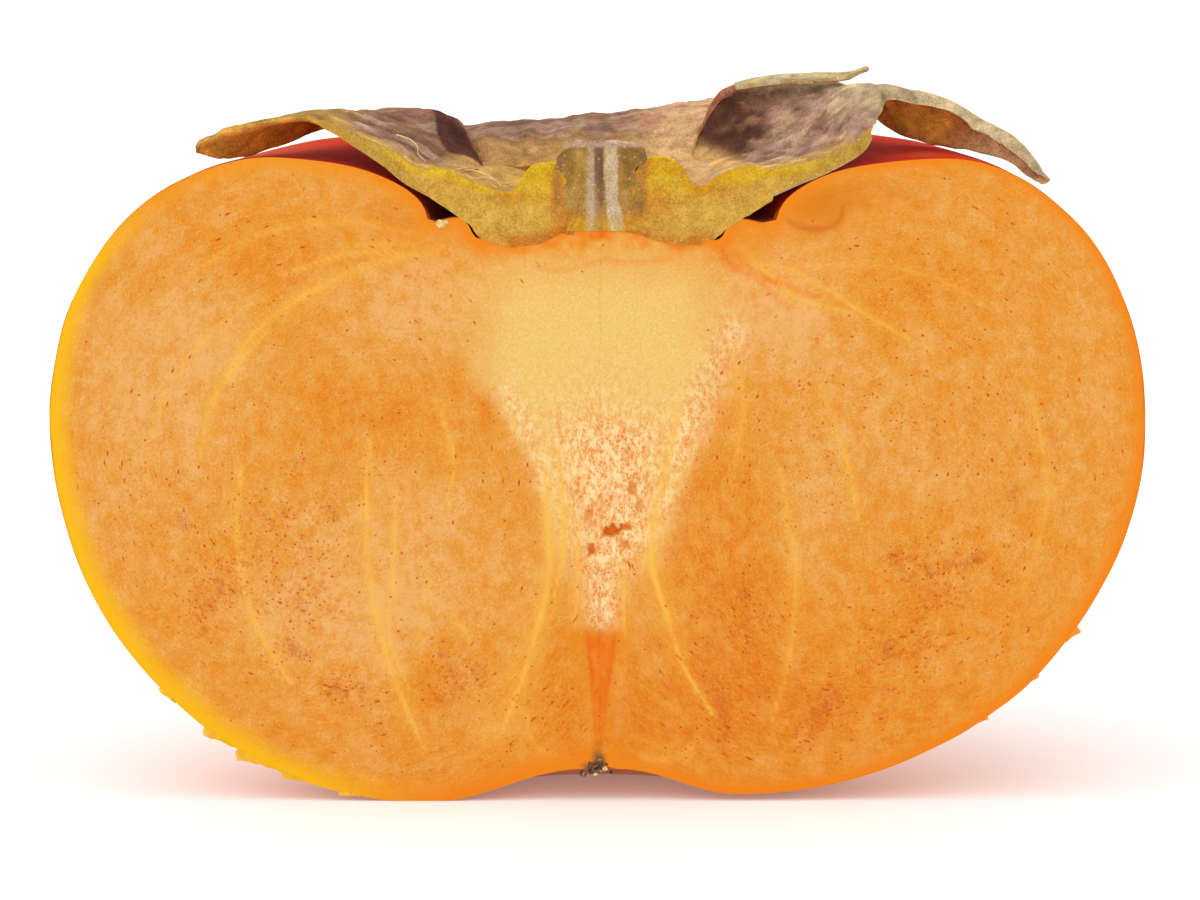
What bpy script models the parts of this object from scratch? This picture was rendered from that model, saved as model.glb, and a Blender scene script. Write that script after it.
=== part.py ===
"""Half of a flat-shouldered persimmon, cut down through its stalk and standing on its blossom end.

The cut is the plane y = 0 while the pieces are being made. Millimetres are used for the driving sizes,
x runs to the right along the cut, y goes back into the fruit and z goes up from the resting spot.
The last step turns nothing and only slides everything until the middle of the base is the origin.
"""

from math import cos, pi, sin

import bmesh
import bpy
import numpy as np
from mathutils import Vector

MM = 0.001

# Fruit: one set of sizes for each side of the cut and one for the hidden back.
RIGHT = {
    "widest_r": 38.8,
    "widest_z": 27.2,
    "crown_r": 24.2,
    "crown_z": 46.2,
    "lip_r": 12.6,
    "base_r": 10.0,
    "base_z": 0.5,
    "lobe_rise": 1.1,
}
LEFT = {
    "widest_r": 39.1,
    "widest_z": 27.4,
    "crown_r": 23.4,
    "crown_z": 46.1,
    "lip_r": 12.2,
    "base_r": 12.4,
    "base_z": -0.1,
    "lobe_rise": 0.7,
}
BACK = {
    "widest_r": 38.4,
    "widest_z": 27.4,
    "crown_r": 22.8,
    "crown_z": 46.3,
    "lip_r": 12.4,
    "base_r": 14.5,
    "base_z": -0.9,
    "lobe_rise": 0.9,
}
LOBE_WAIST = 0.35
LIP_Z = 41.9
STEM_PIT = [(0.0, 40.5), (2.6, 40.3), (5.5, 39.9), (8.4, 40.5), (10.4, 41.0), (11.7, 41.3)]
DIMPLE_TOP = 2.3
BLOSSOM_PIT = [(1.3, 2.35), (1.0, 3.0), (0.7, 3.8), (0.0, 4.0)]
ARC_STEPS = 10
LIP_STEPS = 5
DIMPLE_STEPS = 6
FRUIT_TURNS = 40

# Calyx: the fleshy disc with its raised ring, then the dry lobes that grow from its rim.
DISC_RIM_R = 12.2
DISC_RING = [(2.5, 44.6), (3.1, 45.6), (4.2, 45.9), (5.3, 45.5), (5.9, 44.4), (6.7, 43.8)]
DISC_TOP = [(8.1, 44.2), (9.6, 44.9), (11.0, 45.4), (DISC_RIM_R, 45.7)]
DISC_UNDER = [(DISC_RIM_R, 43.9), (10.2, 42.4), (8.9, 41.4), (8.3, 40.95), (5.5, 40.35), (2.5, 40.8)]
DISC_TURNS = 28

LOBE_BASE_R = 13.15
LOBE_BASE_THICK = 1.2
LOBE_TIP_THICK = 0.6
LOBE_ALONG = 26
LOBE_ACROSS = 9

# Each lobe is a sheet between two edges, given base to tip, with the hollow of its middle.
LEFT_LOBE = {
    "near": [
        (-13.4, 0.0, 45.2),
        (-15.6, 0.0, 46.6),
        (-18.2, 0.0, 48.2),
        (-21.4, 0.0, 49.1),
        (-25.0, 0.2, 48.3),
        (-28.8, 1.0, 47.3),
    ],
    "far": [
        (-9.8, 9.6, 45.6),
        (-12.2, 11.4, 48.3),
        (-16.6, 10.6, 49.0),
        (-20.6, 6.2, 48.3),
        (-25.0, 2.8, 46.9),
        (-28.8, 1.9, 46.8),
    ],
    "hollow": 0.5,
}
BACK_LOBE = {
    "near": [
        (-8.6, 10.3, 45.4),
        (-10.4, 14.4, 47.5),
        (-10.6, 19.0, 48.0),
        (-6.6, 25.2, 47.6),
        (-0.6, 29.4, 46.3),
    ],
    "far": [
        (7.8, 10.9, 45.5),
        (8.7, 14.4, 48.4),
        (9.7, 18.6, 49.2),
        (7.2, 24.6, 48.1),
        (0.6, 29.2, 46.3),
    ],
    "hollow": 0.3,
}
RIGHT_LOBE = {
    "near": [
        (13.4, 0.0, 45.3),
        (16.2, 0.0, 45.9),
        (19.0, 0.4, 47.9),
        (21.4, 4.2, 50.1),
        (25.6, 5.2, 49.7),
        (29.4, 4.6, 47.6),
        (32.2, 3.2, 44.9),
    ],
    "far": [
        (9.6, 9.6, 45.6),
        (10.6, 10.8, 49.6),
        (15.2, 11.0, 50.6),
        (19.8, 9.6, 50.0),
        (24.6, 7.6, 47.7),
        (29.0, 5.6, 46.4),
        (31.8, 4.2, 45.0),
    ],
    "hollow": 1.1,
}
TORN_STRIP = {
    "near": [(9.9, 9.3, 50.2), (12.4, 8.9, 50.7), (15.6, 8.7, 51.1), (19.6, 9.0, 52.0)],
    "far": [(10.4, 10.9, 50.4), (12.8, 10.5, 51.3), (15.8, 10.0, 51.8), (19.7, 9.6, 52.4)],
    "hollow": 0.1,
}
TORN_STRIP_THICK = 0.6
TORN_STRIP_ALONG = 12
TORN_STRIP_ACROSS = 3

STALK_HEAD = [(0.0, 47.2), (1.6, 47.4), (2.8, 47.2), (3.2, 46.4), (2.8, 46.0)]
STALK_NECK = [(2.1, 45.4), (2.05, 43.4), (1.9, 41.2), (0.0, 40.9)]
STALK_TURNS = 16
BLOSSOM_OUTLINE = [(0.0, 3.6), (0.45, 3.5), (0.6, 2.6), (0.75, 1.9), (0.4, 1.3), (0.0, 1.2)]
BLOSSOM_TURNS = 12


def clear_scene():
    for item in list(bpy.data.objects):
        bpy.data.objects.remove(item, do_unlink=True)


def make_material(name, colour, roughness):
    material = bpy.data.materials.new(name)
    material.use_nodes = True
    surface = material.node_tree.nodes["Principled BSDF"]
    surface.inputs["Base Color"].default_value = (*colour, 1.0)
    surface.inputs["Roughness"].default_value = roughness
    surface.inputs["Metallic"].default_value = 0.0
    return material


def add_object(name, mesh_builder, material, smooth_angle=0.7):
    """Turns a bmesh in millimetres into an object in metres with its faces pointing out."""
    bmesh.ops.recalc_face_normals(mesh_builder, faces=mesh_builder.faces)
    bmesh.ops.scale(mesh_builder, vec=(MM, MM, MM), verts=mesh_builder.verts)
    mesh = bpy.data.meshes.new(name)
    mesh_builder.to_mesh(mesh)
    mesh_builder.free()
    mesh.materials.append(material)
    mesh.shade_smooth()
    mesh.set_sharp_from_angle(angle=smooth_angle)
    made = bpy.data.objects.new(name, mesh)
    bpy.context.collection.objects.link(made)
    return made


def smooth_curve(points, count):
    """Points evenly numbered along a Catmull-Rom curve that passes through the given ones."""
    knots = np.array(points, float)
    padded = np.vstack([2 * knots[0] - knots[1], knots, 2 * knots[-1] - knots[-2]])
    made = []
    for step in np.linspace(0, len(knots) - 1, count):
        first = min(int(step), len(knots) - 2)
        t = step - first
        a, b, c, d = padded[first : first + 4]
        bend = (2 * a - 5 * b + 4 * c - d) * t**2 + (3 * b - a - 3 * c + d) * t**3
        made.append((2 * b + (c - a) * t + bend) / 2)
    return made


def half_turn(section_at, turns, on_axis):
    """Sweeps a section half a turn about the z axis and closes it with the flat cut.

    A section on the axis starts and ends at r = 0, and its two halves share one cut face. Any other
    section is a closed loop, and each of its ends gets a cut face of its own.
    """
    builder = bmesh.new()
    rings = []
    for turn in range(turns + 1):
        angle = pi * turn / turns
        section = section_at(angle)
        ring = []
        for index, (r, z) in enumerate(section):
            shared = on_axis and turn and index in (0, len(section) - 1)
            at_end = turn in (0, turns)
            place = (r * cos(angle), 0.0 if at_end else r * sin(angle), z)
            ring.append(rings[0][index] if shared else builder.verts.new(place))
        rings.append(ring)
    for before, after in zip(rings, rings[1:]):
        count = len(before)
        for index in range(count - 1 if on_axis else count):
            follow = (index + 1) % count
            corners = [before[index], before[follow], after[follow], after[index]]
            builder.faces.new(list(dict.fromkeys(corners)))
    if on_axis:
        builder.faces.new(rings[0] + rings[-1][-2:0:-1])
    else:
        builder.faces.new(rings[0])
        builder.faces.new(rings[-1])
    return builder


def side_sizes(angle):
    """The fruit's sizes in one direction: 0 is the right of the cut, pi the left, pi / 2 the back."""
    side = RIGHT if angle < pi / 2 else LEFT
    share = cos(angle) ** 2
    return {key: side[key] * share + BACK[key] * (1 - share) for key in BACK}


def quarter_arc(centre, reach, start, steps):
    """Points on a quarter of an ellipse, turning clockwise from the start angle, without its first point."""
    made = []
    for step in range(1, steps + 1):
        turn = start - pi / 2 * step / steps
        made.append((centre[0] + reach[0] * cos(turn), centre[1] + reach[1] * sin(turn)))
    return made


def fruit_section(angle):
    """The fruit's outline in one direction, from the bottom of the stem pit out and round to the dimple."""
    size = side_sizes(angle)
    lobe = sin(2 * angle) ** 2
    crown_z = size["crown_z"] + size["lobe_rise"] * lobe
    widest_r = size["widest_r"] - LOBE_WAIST * lobe
    outline = [tuple(point) for point in smooth_curve(STEM_PIT, 2 * len(STEM_PIT) - 1)]
    outline.append((size["lip_r"], LIP_Z))
    lip_reach = (size["crown_r"] - size["lip_r"], crown_z - LIP_Z)
    outline += quarter_arc((size["crown_r"], LIP_Z), lip_reach, pi, LIP_STEPS)
    shoulder_reach = (widest_r - size["crown_r"], crown_z - size["widest_z"])
    outline += quarter_arc((size["crown_r"], size["widest_z"]), shoulder_reach, pi / 2, ARC_STEPS)
    belly_reach = (widest_r - size["base_r"], size["widest_z"] - size["base_z"])
    outline += quarter_arc((size["base_r"], size["widest_z"]), belly_reach, 0.0, ARC_STEPS)
    rim_r = BLOSSOM_PIT[0][0]
    for step in range(1, DIMPLE_STEPS):
        share = step / DIMPLE_STEPS
        r = size["base_r"] + (rim_r - size["base_r"]) * share
        rise = (1 - cos(pi * share)) / 2
        outline.append((r, size["base_z"] + (DIMPLE_TOP - size["base_z"]) * rise))
    outline += BLOSSOM_PIT
    return [(r, max(z, 0.0)) for r, z in outline]


def make_fruit():
    material = make_material("persimmon_flesh", (0.84, 0.36, 0.06), 0.45)
    return add_object("fruit_half", half_turn(fruit_section, FRUIT_TURNS, True), material)


def make_disc():
    material = make_material("calyx_flesh", (0.71, 0.42, 0.08), 0.6)
    section = DISC_RING + DISC_TOP + DISC_UNDER
    return add_object("calyx_disc", half_turn(lambda angle: section, DISC_TURNS, False), material)


def make_stalk():
    material = make_material("stalk_wood", (0.43, 0.26, 0.06), 0.8)
    outline = STALK_HEAD + STALK_NECK
    return add_object("stalk_stub", half_turn(lambda angle: outline, STALK_TURNS, True), material)


def make_blossom():
    material = make_material("dry_blossom", (0.17, 0.07, 0.03), 0.9)
    turned = half_turn(lambda angle: BLOSSOM_OUTLINE, BLOSSOM_TURNS, True)
    return add_object("blossom_remnant", turned, material)


def sheet(edges, along, across):
    """A grid of faces between two edge curves, hollowed down its middle."""
    builder = bmesh.new()
    near = smooth_curve(edges["near"], along)
    far = smooth_curve(edges["far"], along)
    rows = []
    for near_point, far_point in zip(near, far):
        row = []
        for step in range(across):
            share = step / (across - 1)
            place = Vector(near_point).lerp(Vector(far_point), share)
            place.z -= edges["hollow"] * sin(pi * share)
            reach = place.xy.length
            if reach < LOBE_BASE_R:
                place.xy *= LOBE_BASE_R / reach
            row.append(builder.verts.new(place))
        rows.append(row)
    for before, after in zip(rows, rows[1:]):
        for index in range(across - 1):
            builder.faces.new([before[index], before[index + 1], after[index + 1], after[index]])
    return builder


def thicken(sheet_object, along, across, base_thick, tip_thick):
    """A Solidify modifier whose thickness runs from the base of the sheet down to its tip."""
    group = sheet_object.vertex_groups.new(name="thickness")
    for index in range(along * across):
        share = (index // across) / (along - 1)
        group.add([index], 1.0 - share, "REPLACE")
    solid = sheet_object.modifiers.new("thickness", "SOLIDIFY")
    solid.thickness = base_thick * MM
    solid.offset = 0.0
    solid.use_rim = True
    solid.vertex_group = group.name
    solid.thickness_vertex_group = tip_thick / base_thick


def make_lobe(name, edges, material):
    made = add_object(name, sheet(edges, LOBE_ALONG, LOBE_ACROSS), material)
    thicken(made, LOBE_ALONG, LOBE_ACROSS, LOBE_BASE_THICK, LOBE_TIP_THICK)
    return made


def make_torn_strip(material):
    """The narrow strip torn from the right lobe's back edge, a joining shape for that lobe's Boolean."""
    strip = add_object("torn_strip", sheet(TORN_STRIP, TORN_STRIP_ALONG, TORN_STRIP_ACROSS), material)
    thicken(strip, TORN_STRIP_ALONG, TORN_STRIP_ACROSS, TORN_STRIP_THICK, TORN_STRIP_THICK)
    strip.hide_render = True
    strip.display_type = "WIRE"
    return strip


def make_lobes():
    felt = make_material("dry_calyx_lobe", (0.42, 0.24, 0.1), 0.85)
    left = make_lobe("sepal_left", LEFT_LOBE, felt)
    back = make_lobe("sepal_back", BACK_LOBE, felt)
    right = make_lobe("sepal_right", RIGHT_LOBE, felt)
    join = right.modifiers.new("torn_strip", "BOOLEAN")
    join.operation = "UNION"
    join.solver = "EXACT"
    join.object = make_torn_strip(felt)
    return [left, back, right]


def stand_on_origin(pieces):
    """Slides every object so that the middle of the whole base is the origin."""
    bpy.context.view_layer.update()
    graph = bpy.context.evaluated_depsgraph_get()
    places = []
    for piece in pieces:
        evaluated = piece.evaluated_get(graph)
        places += [evaluated.matrix_world @ vertex.co for vertex in evaluated.data.vertices]
    low = Vector([min(place[axis] for place in places) for axis in range(3)])
    high = Vector([max(place[axis] for place in places) for axis in range(3)])
    middle = Vector(((low.x + high.x) / 2, (low.y + high.y) / 2, low.z))
    for item in bpy.data.objects:
        item.location -= middle


def main():
    clear_scene()
    pieces = [make_fruit(), make_disc(), make_stalk(), make_blossom(), *make_lobes()]
    stand_on_origin(pieces)


main()
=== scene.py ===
# %% [markdown]
# # Half a persimmon
# This notebook dresses a halved, flat-shouldered persimmon. The imported solids give the place of the
# cut face and the stalk, and the box that every piece stays inside. Each step below says what a piece is on
# the real fruit and how its shape or finish is made.

# %% Load the frame
from math import cos, pi, radians, sin

import bmesh
import bpy
import numpy as np
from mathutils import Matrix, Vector
from mathutils.kdtree import KDTree


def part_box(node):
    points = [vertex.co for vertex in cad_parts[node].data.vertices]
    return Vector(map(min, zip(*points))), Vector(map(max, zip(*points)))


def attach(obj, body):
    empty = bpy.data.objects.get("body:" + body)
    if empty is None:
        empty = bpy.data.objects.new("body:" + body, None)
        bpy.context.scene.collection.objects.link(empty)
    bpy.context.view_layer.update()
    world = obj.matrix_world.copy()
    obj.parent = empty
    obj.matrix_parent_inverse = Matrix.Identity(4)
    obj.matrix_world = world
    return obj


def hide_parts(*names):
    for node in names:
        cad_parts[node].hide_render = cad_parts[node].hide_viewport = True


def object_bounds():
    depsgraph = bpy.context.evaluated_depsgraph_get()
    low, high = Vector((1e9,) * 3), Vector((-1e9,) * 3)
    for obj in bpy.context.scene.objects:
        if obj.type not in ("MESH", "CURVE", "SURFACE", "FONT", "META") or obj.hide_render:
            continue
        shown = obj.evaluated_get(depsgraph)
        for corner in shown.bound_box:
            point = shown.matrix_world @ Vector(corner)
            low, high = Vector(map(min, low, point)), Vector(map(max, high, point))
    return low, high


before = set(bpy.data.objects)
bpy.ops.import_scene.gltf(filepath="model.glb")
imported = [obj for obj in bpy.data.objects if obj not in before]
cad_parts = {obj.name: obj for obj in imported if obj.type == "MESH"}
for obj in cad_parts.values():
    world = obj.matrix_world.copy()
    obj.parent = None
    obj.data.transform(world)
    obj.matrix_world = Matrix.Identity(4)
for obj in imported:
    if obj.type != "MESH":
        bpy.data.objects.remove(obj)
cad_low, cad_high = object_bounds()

MM = 0.001
fruit_low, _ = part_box("fruit_half")
stalk_low, stalk_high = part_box("stalk_stub")
AXIS_X = (stalk_low.x + stalk_high.x) / 2
CUT_Y = fruit_low.y
print("stalk axis at x =", round(AXIS_X, 5), "cut face at y =", round(CUT_Y, 5))

# %% [markdown]
# ## Camera, floor and light
# The fruit stands on a plain pale floor in a bright, soft studio. A wide, far lamp on the upper left
# models the shoulders and puts a faint shadow to the right. The world gives the rest. It is a little
# darker to the surfaces than to the eye, so the forms stay readable while the backdrop stays white.

# %% Camera
VIEW_HEIGHT = 25.4 * MM
VIEW_DISTANCE = 0.3
VIEW_ELEVATION = radians(7.0)
FRAME_WIDTH = 85.3 * MM

camera_data = bpy.data.cameras.new("camera")
camera_data.sensor_width = 36.0
camera_data.lens = camera_data.sensor_width * VIEW_DISTANCE / FRAME_WIDTH
camera_data.clip_start = 0.01
camera_data.clip_end = 30.0
camera = bpy.data.objects.new("camera", camera_data)
bpy.context.scene.collection.objects.link(camera)
backward = Vector((0.0, -cos(VIEW_ELEVATION), sin(VIEW_ELEVATION)))
camera.location = Vector((AXIS_X, CUT_Y, VIEW_HEIGHT)) + backward * VIEW_DISTANCE
camera.rotation_mode = "QUATERNION"
camera.rotation_quaternion = (-backward).to_track_quat("-Z", "Y")
bpy.context.scene.camera = camera
bpy.context.scene.view_settings.view_transform = "Standard"
print("lens", round(camera_data.lens, 1), "mm")

# %% Node helpers
class Nodes:
    """The nodes of one material, group or world, with short words for adding to them."""

    def __init__(self, tree):
        self.tree = tree

    def fill(self, node, inputs):
        for key, value in inputs.items():
            socket = node.inputs[key]
            if isinstance(value, bpy.types.NodeSocket):
                self.tree.links.new(value, socket)
            else:
                socket.default_value = (*value, 1.0) if socket.type == "RGBA" else value
        return node

    def node(self, kind, inputs=(), **settings):
        """Adds a node, sets its properties and fills its inputs with plain values or links."""
        made = self.tree.nodes.new(kind)
        for name, value in settings.items():
            setattr(made, name, value)
        return self.fill(made, dict(inputs))

    def mix(self, share, first, second, blend="MIX"):
        inputs = {0: share, 6: first, 7: second}
        return self.node("ShaderNodeMix", inputs, data_type="RGBA", blend_type=blend).outputs[2]

    def lay(self, base, shade, mask, share=1.0):
        """A shade laid over a base where the mask is high, at a share of its full strength."""
        return self.mix(mask if share == 1.0 else self.times(mask, share), base, shade)

    def maths(self, operation, *values):
        return self.node("ShaderNodeMath", dict(enumerate(values)), operation=operation).outputs[0]

    def times(self, first, second):
        return self.maths("MULTIPLY", first, second)

    def plus(self, first, second):
        return self.maths("ADD", first, second)

    def step(self, value, low, high):
        """A smooth 0 to 1 rise of value from low to high; with low above high it falls."""
        inputs = {0: value, 1: low, 2: high}
        return self.node("ShaderNodeMapRange", inputs, interpolation_type="SMOOTHSTEP").outputs[0]

    def between(self, value, low, high):
        """Low where the value is 0, high where it is 1."""
        return self.node("ShaderNodeMapRange", {0: value, 3: low, 4: high}).outputs[0]

    def painted(self, name, output="Fac"):
        return self.node("ShaderNodeAttribute", attribute_name=name).outputs[output]

    def millimetres(self):
        place = self.node("ShaderNodeTexCoord").outputs["Object"]
        return self.node("ShaderNodeVectorMath", {0: place, 3: 1 / MM}, operation="SCALE").outputs[0]

    def noise(self, vector, scale, detail=2.0, roughness=0.5, output="Fac"):
        inputs = {"Vector": vector, "Scale": scale, "Detail": detail, "Roughness": roughness}
        return self.node("ShaderNodeTexNoise", inputs).outputs[output]

    def ramp(self, value, *stops):
        """Each stop is a position and a colour."""
        made = self.node("ShaderNodeValToRGB", {0: value})
        points = made.color_ramp.elements
        while len(points) < len(stops):
            points.new(1.0)
        for point, (position, shade) in zip(points, stops):
            point.position = position
            point.color = (*shade, 1.0)
        return made.outputs[0]

    def group(self, group, **inputs):
        """Puts a shared finish in a material with its own values."""
        return self.node("ShaderNodeGroup", inputs, node_tree=group).outputs[0]

    def finish(self, surface, shade, roughness, height, depth):
        """Wires a colour, a roughness and a fine relief of some depth to the material's surface."""
        relief = self.node("ShaderNodeBump", {"Height": height, "Distance": depth, "Strength": 1.0})
        self.fill(surface, {"Base Color": shade, "Roughness": roughness, "Normal": relief.outputs[0]})


def start_material(name, roughness=0.5, specular=0.5):
    material = bpy.data.materials.new(name)
    material.use_nodes = True
    on = Nodes(material.node_tree)
    surface = material.node_tree.nodes["Principled BSDF"]
    on.fill(surface, {"Roughness": roughness, "Specular IOR Level": specular})
    return material, on, surface


# %% Floor
FLOOR_SIZE = 12.0
floor_mesh = bpy.data.meshes.new("floor")
half = FLOOR_SIZE / 2
floor_corners = [(-half, -half, 0), (half, -half, 0), (half, half, 0), (-half, half, 0)]
floor_mesh.from_pydata(floor_corners, [], [(0, 1, 2, 3)])
floor = bpy.data.objects.new("floor", floor_mesh)
bpy.context.scene.collection.objects.link(floor)
FLOOR_GLOW = 0.15
floor_material, on, surface = start_material("pale_floor", 0.7, 0.2)
on.fill(surface, {"Base Color": (0.95, 0.95, 0.945), "Emission Color": (1.0, 0.98, 0.94)})
on.fill(surface, {"Emission Strength": FLOOR_GLOW})
floor_mesh.materials.append(floor_material)

# %% Lamp and world
def soft_sun(name, towards, power, softness):
    """A far lamp in the given direction. Softness is its apparent width in degrees."""
    data = bpy.data.lights.new(name, "SUN")
    data.angle = radians(softness)
    data.energy = power
    lamp = bpy.data.objects.new(name, data)
    bpy.context.scene.collection.objects.link(lamp)
    lamp.location = towards
    lamp.rotation_mode = "QUATERNION"
    lamp.rotation_quaternion = (-towards).to_track_quat("-Z", "Y")
    return lamp


soft_sun("key_light", Vector((-0.42, -0.5, 1.0)), 1.0, 90.0)

WORLD_LIGHT = 0.88
BACKDROP_LIGHT = 1.05
world = bpy.data.worlds.new("studio")
world.use_nodes = True
bpy.context.scene.world = world
on = Nodes(world.node_tree)
seen = on.node("ShaderNodeLightPath").outputs["Is Camera Ray"]
backdrop = on.between(seen, WORLD_LIGHT, BACKDROP_LIGHT)
on.fill(world.node_tree.nodes["Background"], {"Color": (1.0, 1.0, 1.0), "Strength": backdrop})

# %% [markdown]
# ## Shapes from numbers
# Grown things have no straight edges, but they follow a few curves. Two small tools make most of the
# shapes here: a smooth curve through a handful of points, and a seeded noise that gives every surface
# its own unevenness. A third turns a grid of points into a mesh.

# %% Smooth curves and seeded noise
def smooth_curve(points, count):
    """Points evenly numbered along a Catmull-Rom curve that passes through the given ones."""
    knots = np.array(points, float)
    padded = np.concatenate([[2 * knots[0] - knots[1]], knots, [2 * knots[-1] - knots[-2]]])
    steps = np.linspace(0, len(knots) - 1, count)
    first = np.minimum(steps.astype(int), len(knots) - 2)
    t = (steps - first).reshape((-1,) + (1,) * (knots.ndim - 1))
    a, b, c, d = (padded[first + offset] for offset in range(4))
    bend = (2 * a - 5 * b + 4 * c - d) * t**2 + (3 * b - a - 3 * c + d) * t**3
    return (2 * b + (c - a) * t + bend) / 2


def value_noise(points, scale, seed):
    """Smooth noise from 0 to 1 at each of the points, which are in millimetres."""
    table = np.random.default_rng(seed).random(4096)
    place = np.asarray(points, float) * scale
    cell = np.floor(place).astype(np.int64)
    part = place - cell
    part = part * part * (3 - 2 * part)
    total = np.zeros(place.shape[:-1])
    for corner in range(8):
        step = np.array([corner & 1, corner >> 1 & 1, corner >> 2 & 1])
        weight = np.prod(np.where(step, part, 1 - part), axis=-1)
        key = (cell + step) * np.array([73856093, 19349663, 83492791])
        total += weight * table[np.bitwise_xor.reduce(key, axis=-1) & 4095]
    return total


def layered_noise(points, scale, seed, layers=3):
    """Noise with finer layers added, from about -1 to 1."""
    shares = [0.5**layer for layer in range(layers)]
    summed = sum(
        share * (2 * value_noise(points, scale * 2.1**layer, seed + layer) - 1)
        for layer, share in enumerate(shares)
    )
    return summed / sum(shares)


def rise(value, low, high):
    """The numpy twin of Nodes.step: a smooth 0 to 1 step."""
    share = np.clip((value - low) / (high - low), 0, 1)
    return share * share * (3 - 2 * share)


# %% Grids to meshes
def grid_faces(index, closed=False):
    """Quads over a table of vertex numbers. Where numbers repeat, the quad becomes a triangle."""
    table = np.hstack([index, index[:, :1]]) if closed else index
    quads = np.stack([table[:-1, :-1], table[1:, :-1], table[1:, 1:], table[:-1, 1:]], -1).reshape(-1, 4)
    return [list(dict.fromkeys(quad)) for quad in quads.tolist()]


def to_frame(points):
    """From the fruit's millimetres to the shared frame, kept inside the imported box."""
    placed = np.asarray(points, float) * MM + np.array([AXIS_X, CUT_Y, 0.0])
    return np.clip(placed, np.array(cad_low), np.array(cad_high))


def make_piece(name, points, faces, materials, nodes, face_materials=None, sharp=0.9):
    """Makes a mesh object from millimetre points, gives it its finish and ties it to the fruit."""
    mesh = bpy.data.meshes.new(name)
    mesh.from_pydata(to_frame(points), [], faces)
    for material in materials:
        mesh.materials.append(material)
    if face_materials is not None:
        mesh.polygons.foreach_set("material_index", np.asarray(face_materials, np.int32))
    mesh.update()
    mesh.shade_smooth()
    mesh.set_sharp_from_angle(angle=sharp)
    piece = bpy.data.objects.new(name, mesh)
    bpy.context.scene.collection.objects.link(piece)
    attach(piece, "root")
    if nodes:
        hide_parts(*nodes)
    print(name, len(mesh.vertices), "vertices", len(mesh.polygons), "faces")
    return piece


def paint(piece, name, values):
    """Stores a number or a vector for each vertex, which the piece's material reads by name."""
    values = np.asarray(values, np.float32)
    kind, field = ("FLOAT_VECTOR", "vector") if values.ndim == 2 else ("FLOAT", "value")
    layer = piece.data.attributes.new(name, kind, "POINT")
    layer.data.foreach_set(field, values.ravel())


# %% [markdown]
# ## Shared finishes
# Several surfaces of the fruit show the same kinds of detail: cloudy patches, fine fibres that run one
# way, and small specks. Each is a node group made once. Every material then places it with its own
# scale and strength, so that flesh, skin, calyx and stalk look grown from the same plant.

# %% Cloudy patches
def start_group(name, output, **inputs):
    """A group with a vector and some numbers going in, and one number coming out."""
    tree = bpy.data.node_groups.new(name, "ShaderNodeTree")
    tree.interface.new_socket("Vector", in_out="INPUT", socket_type="NodeSocketVector")
    for label, value in inputs.items():
        made = tree.interface.new_socket(label, in_out="INPUT", socket_type="NodeSocketFloat")
        made.default_value = value
    tree.interface.new_socket(output, in_out="OUTPUT", socket_type="NodeSocketFloat")
    return tree, Nodes(tree), tree.nodes.new("NodeGroupInput").outputs, tree.nodes.new("NodeGroupOutput")


cloudy, on, given, result = start_group("cloudy_patches", "Value", Scale=1.0, Grain=0.5)
broad = on.noise(given["Vector"], given["Scale"], 2.0, 0.55)
fine = on.noise(given["Vector"], on.times(given["Scale"], 7.0), 4.0, 0.7)
both = on.node("ShaderNodeMix", {0: given["Grain"], 2: broad, 3: fine}, data_type="FLOAT").outputs[0]
on.fill(result, {"Value": on.step(both, 0.3, 0.7)})

# %% Fibres along one direction
fibres, on, given, result = start_group("fine_fibres", "Value", Scale=1.0, Sharpness=0.5)
thread = on.noise(given["Vector"], given["Scale"], 3.0, 0.6)
ridge = on.maths("ABSOLUTE", on.maths("SUBTRACT", thread, 0.5))
narrow = on.maths("MULTIPLY_ADD", given["Sharpness"], -0.1, 0.14)
on.fill(result, {"Value": on.step(ridge, narrow, 0.0)})

# %% Small specks
specks, on, given, result = start_group("small_specks", "Mask", Scale=1.0, Size=0.25, Amount=0.3)
cell_inputs = {"Vector": given["Vector"], "Scale": given["Scale"], "Randomness": 1.0}
cells = on.node("ShaderNodeTexVoronoi", cell_inputs).outputs
chance = on.node("ShaderNodeSeparateColor", {0: cells["Color"]}).outputs[0]
chosen = on.maths("LESS_THAN", chance, given["Amount"])
round_spot = on.step(cells["Distance"], given["Size"], on.times(given["Size"], 0.4))
on.fill(result, {"Mask": on.times(round_spot, chosen)})

# %% [markdown]
# ## The fruit's outline
# The half is a half-turned body whose outline changes with direction: one set of sizes for the right of
# the cut, one for the left, one for the back, blended round. Four low lobes rise between the calyx lobes,
# as on most flat persimmons. Below are the same driving sizes as in the solids, in millimetres.

# %% Driving sizes of the fruit
SIZE_NAMES = ["widest_r", "widest_z", "crown_r", "crown_z", "lip_r", "base_r", "base_z", "lobe_rise"]
RIGHT = dict(zip(SIZE_NAMES, [38.8, 27.2, 24.2, 46.2, 12.6, 10.0, 0.5, 1.1]))
LEFT = dict(zip(SIZE_NAMES, [39.1, 27.4, 23.4, 46.1, 12.2, 12.4, -0.1, 0.7]))
BACK = dict(zip(SIZE_NAMES, [38.4, 27.4, 22.8, 46.3, 12.4, 14.5, -0.9, 0.9]))
LOBE_WAIST = 0.35
LIP_Z = 41.9
STEM_PIT = [
    (0.0, 41.6), (2.6, 41.3), (5.5, 40.6), (7.8, 40.5), (8.7, 40.6), (9.3, 41.6), (10.1, 42.0), (11.6, 41.7)
]
DIMPLE_TOP = 2.3
DIMPLE_RIM = 1.3
APEX_Z = 2.6
OUTLINE_STEPS = 120


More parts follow.
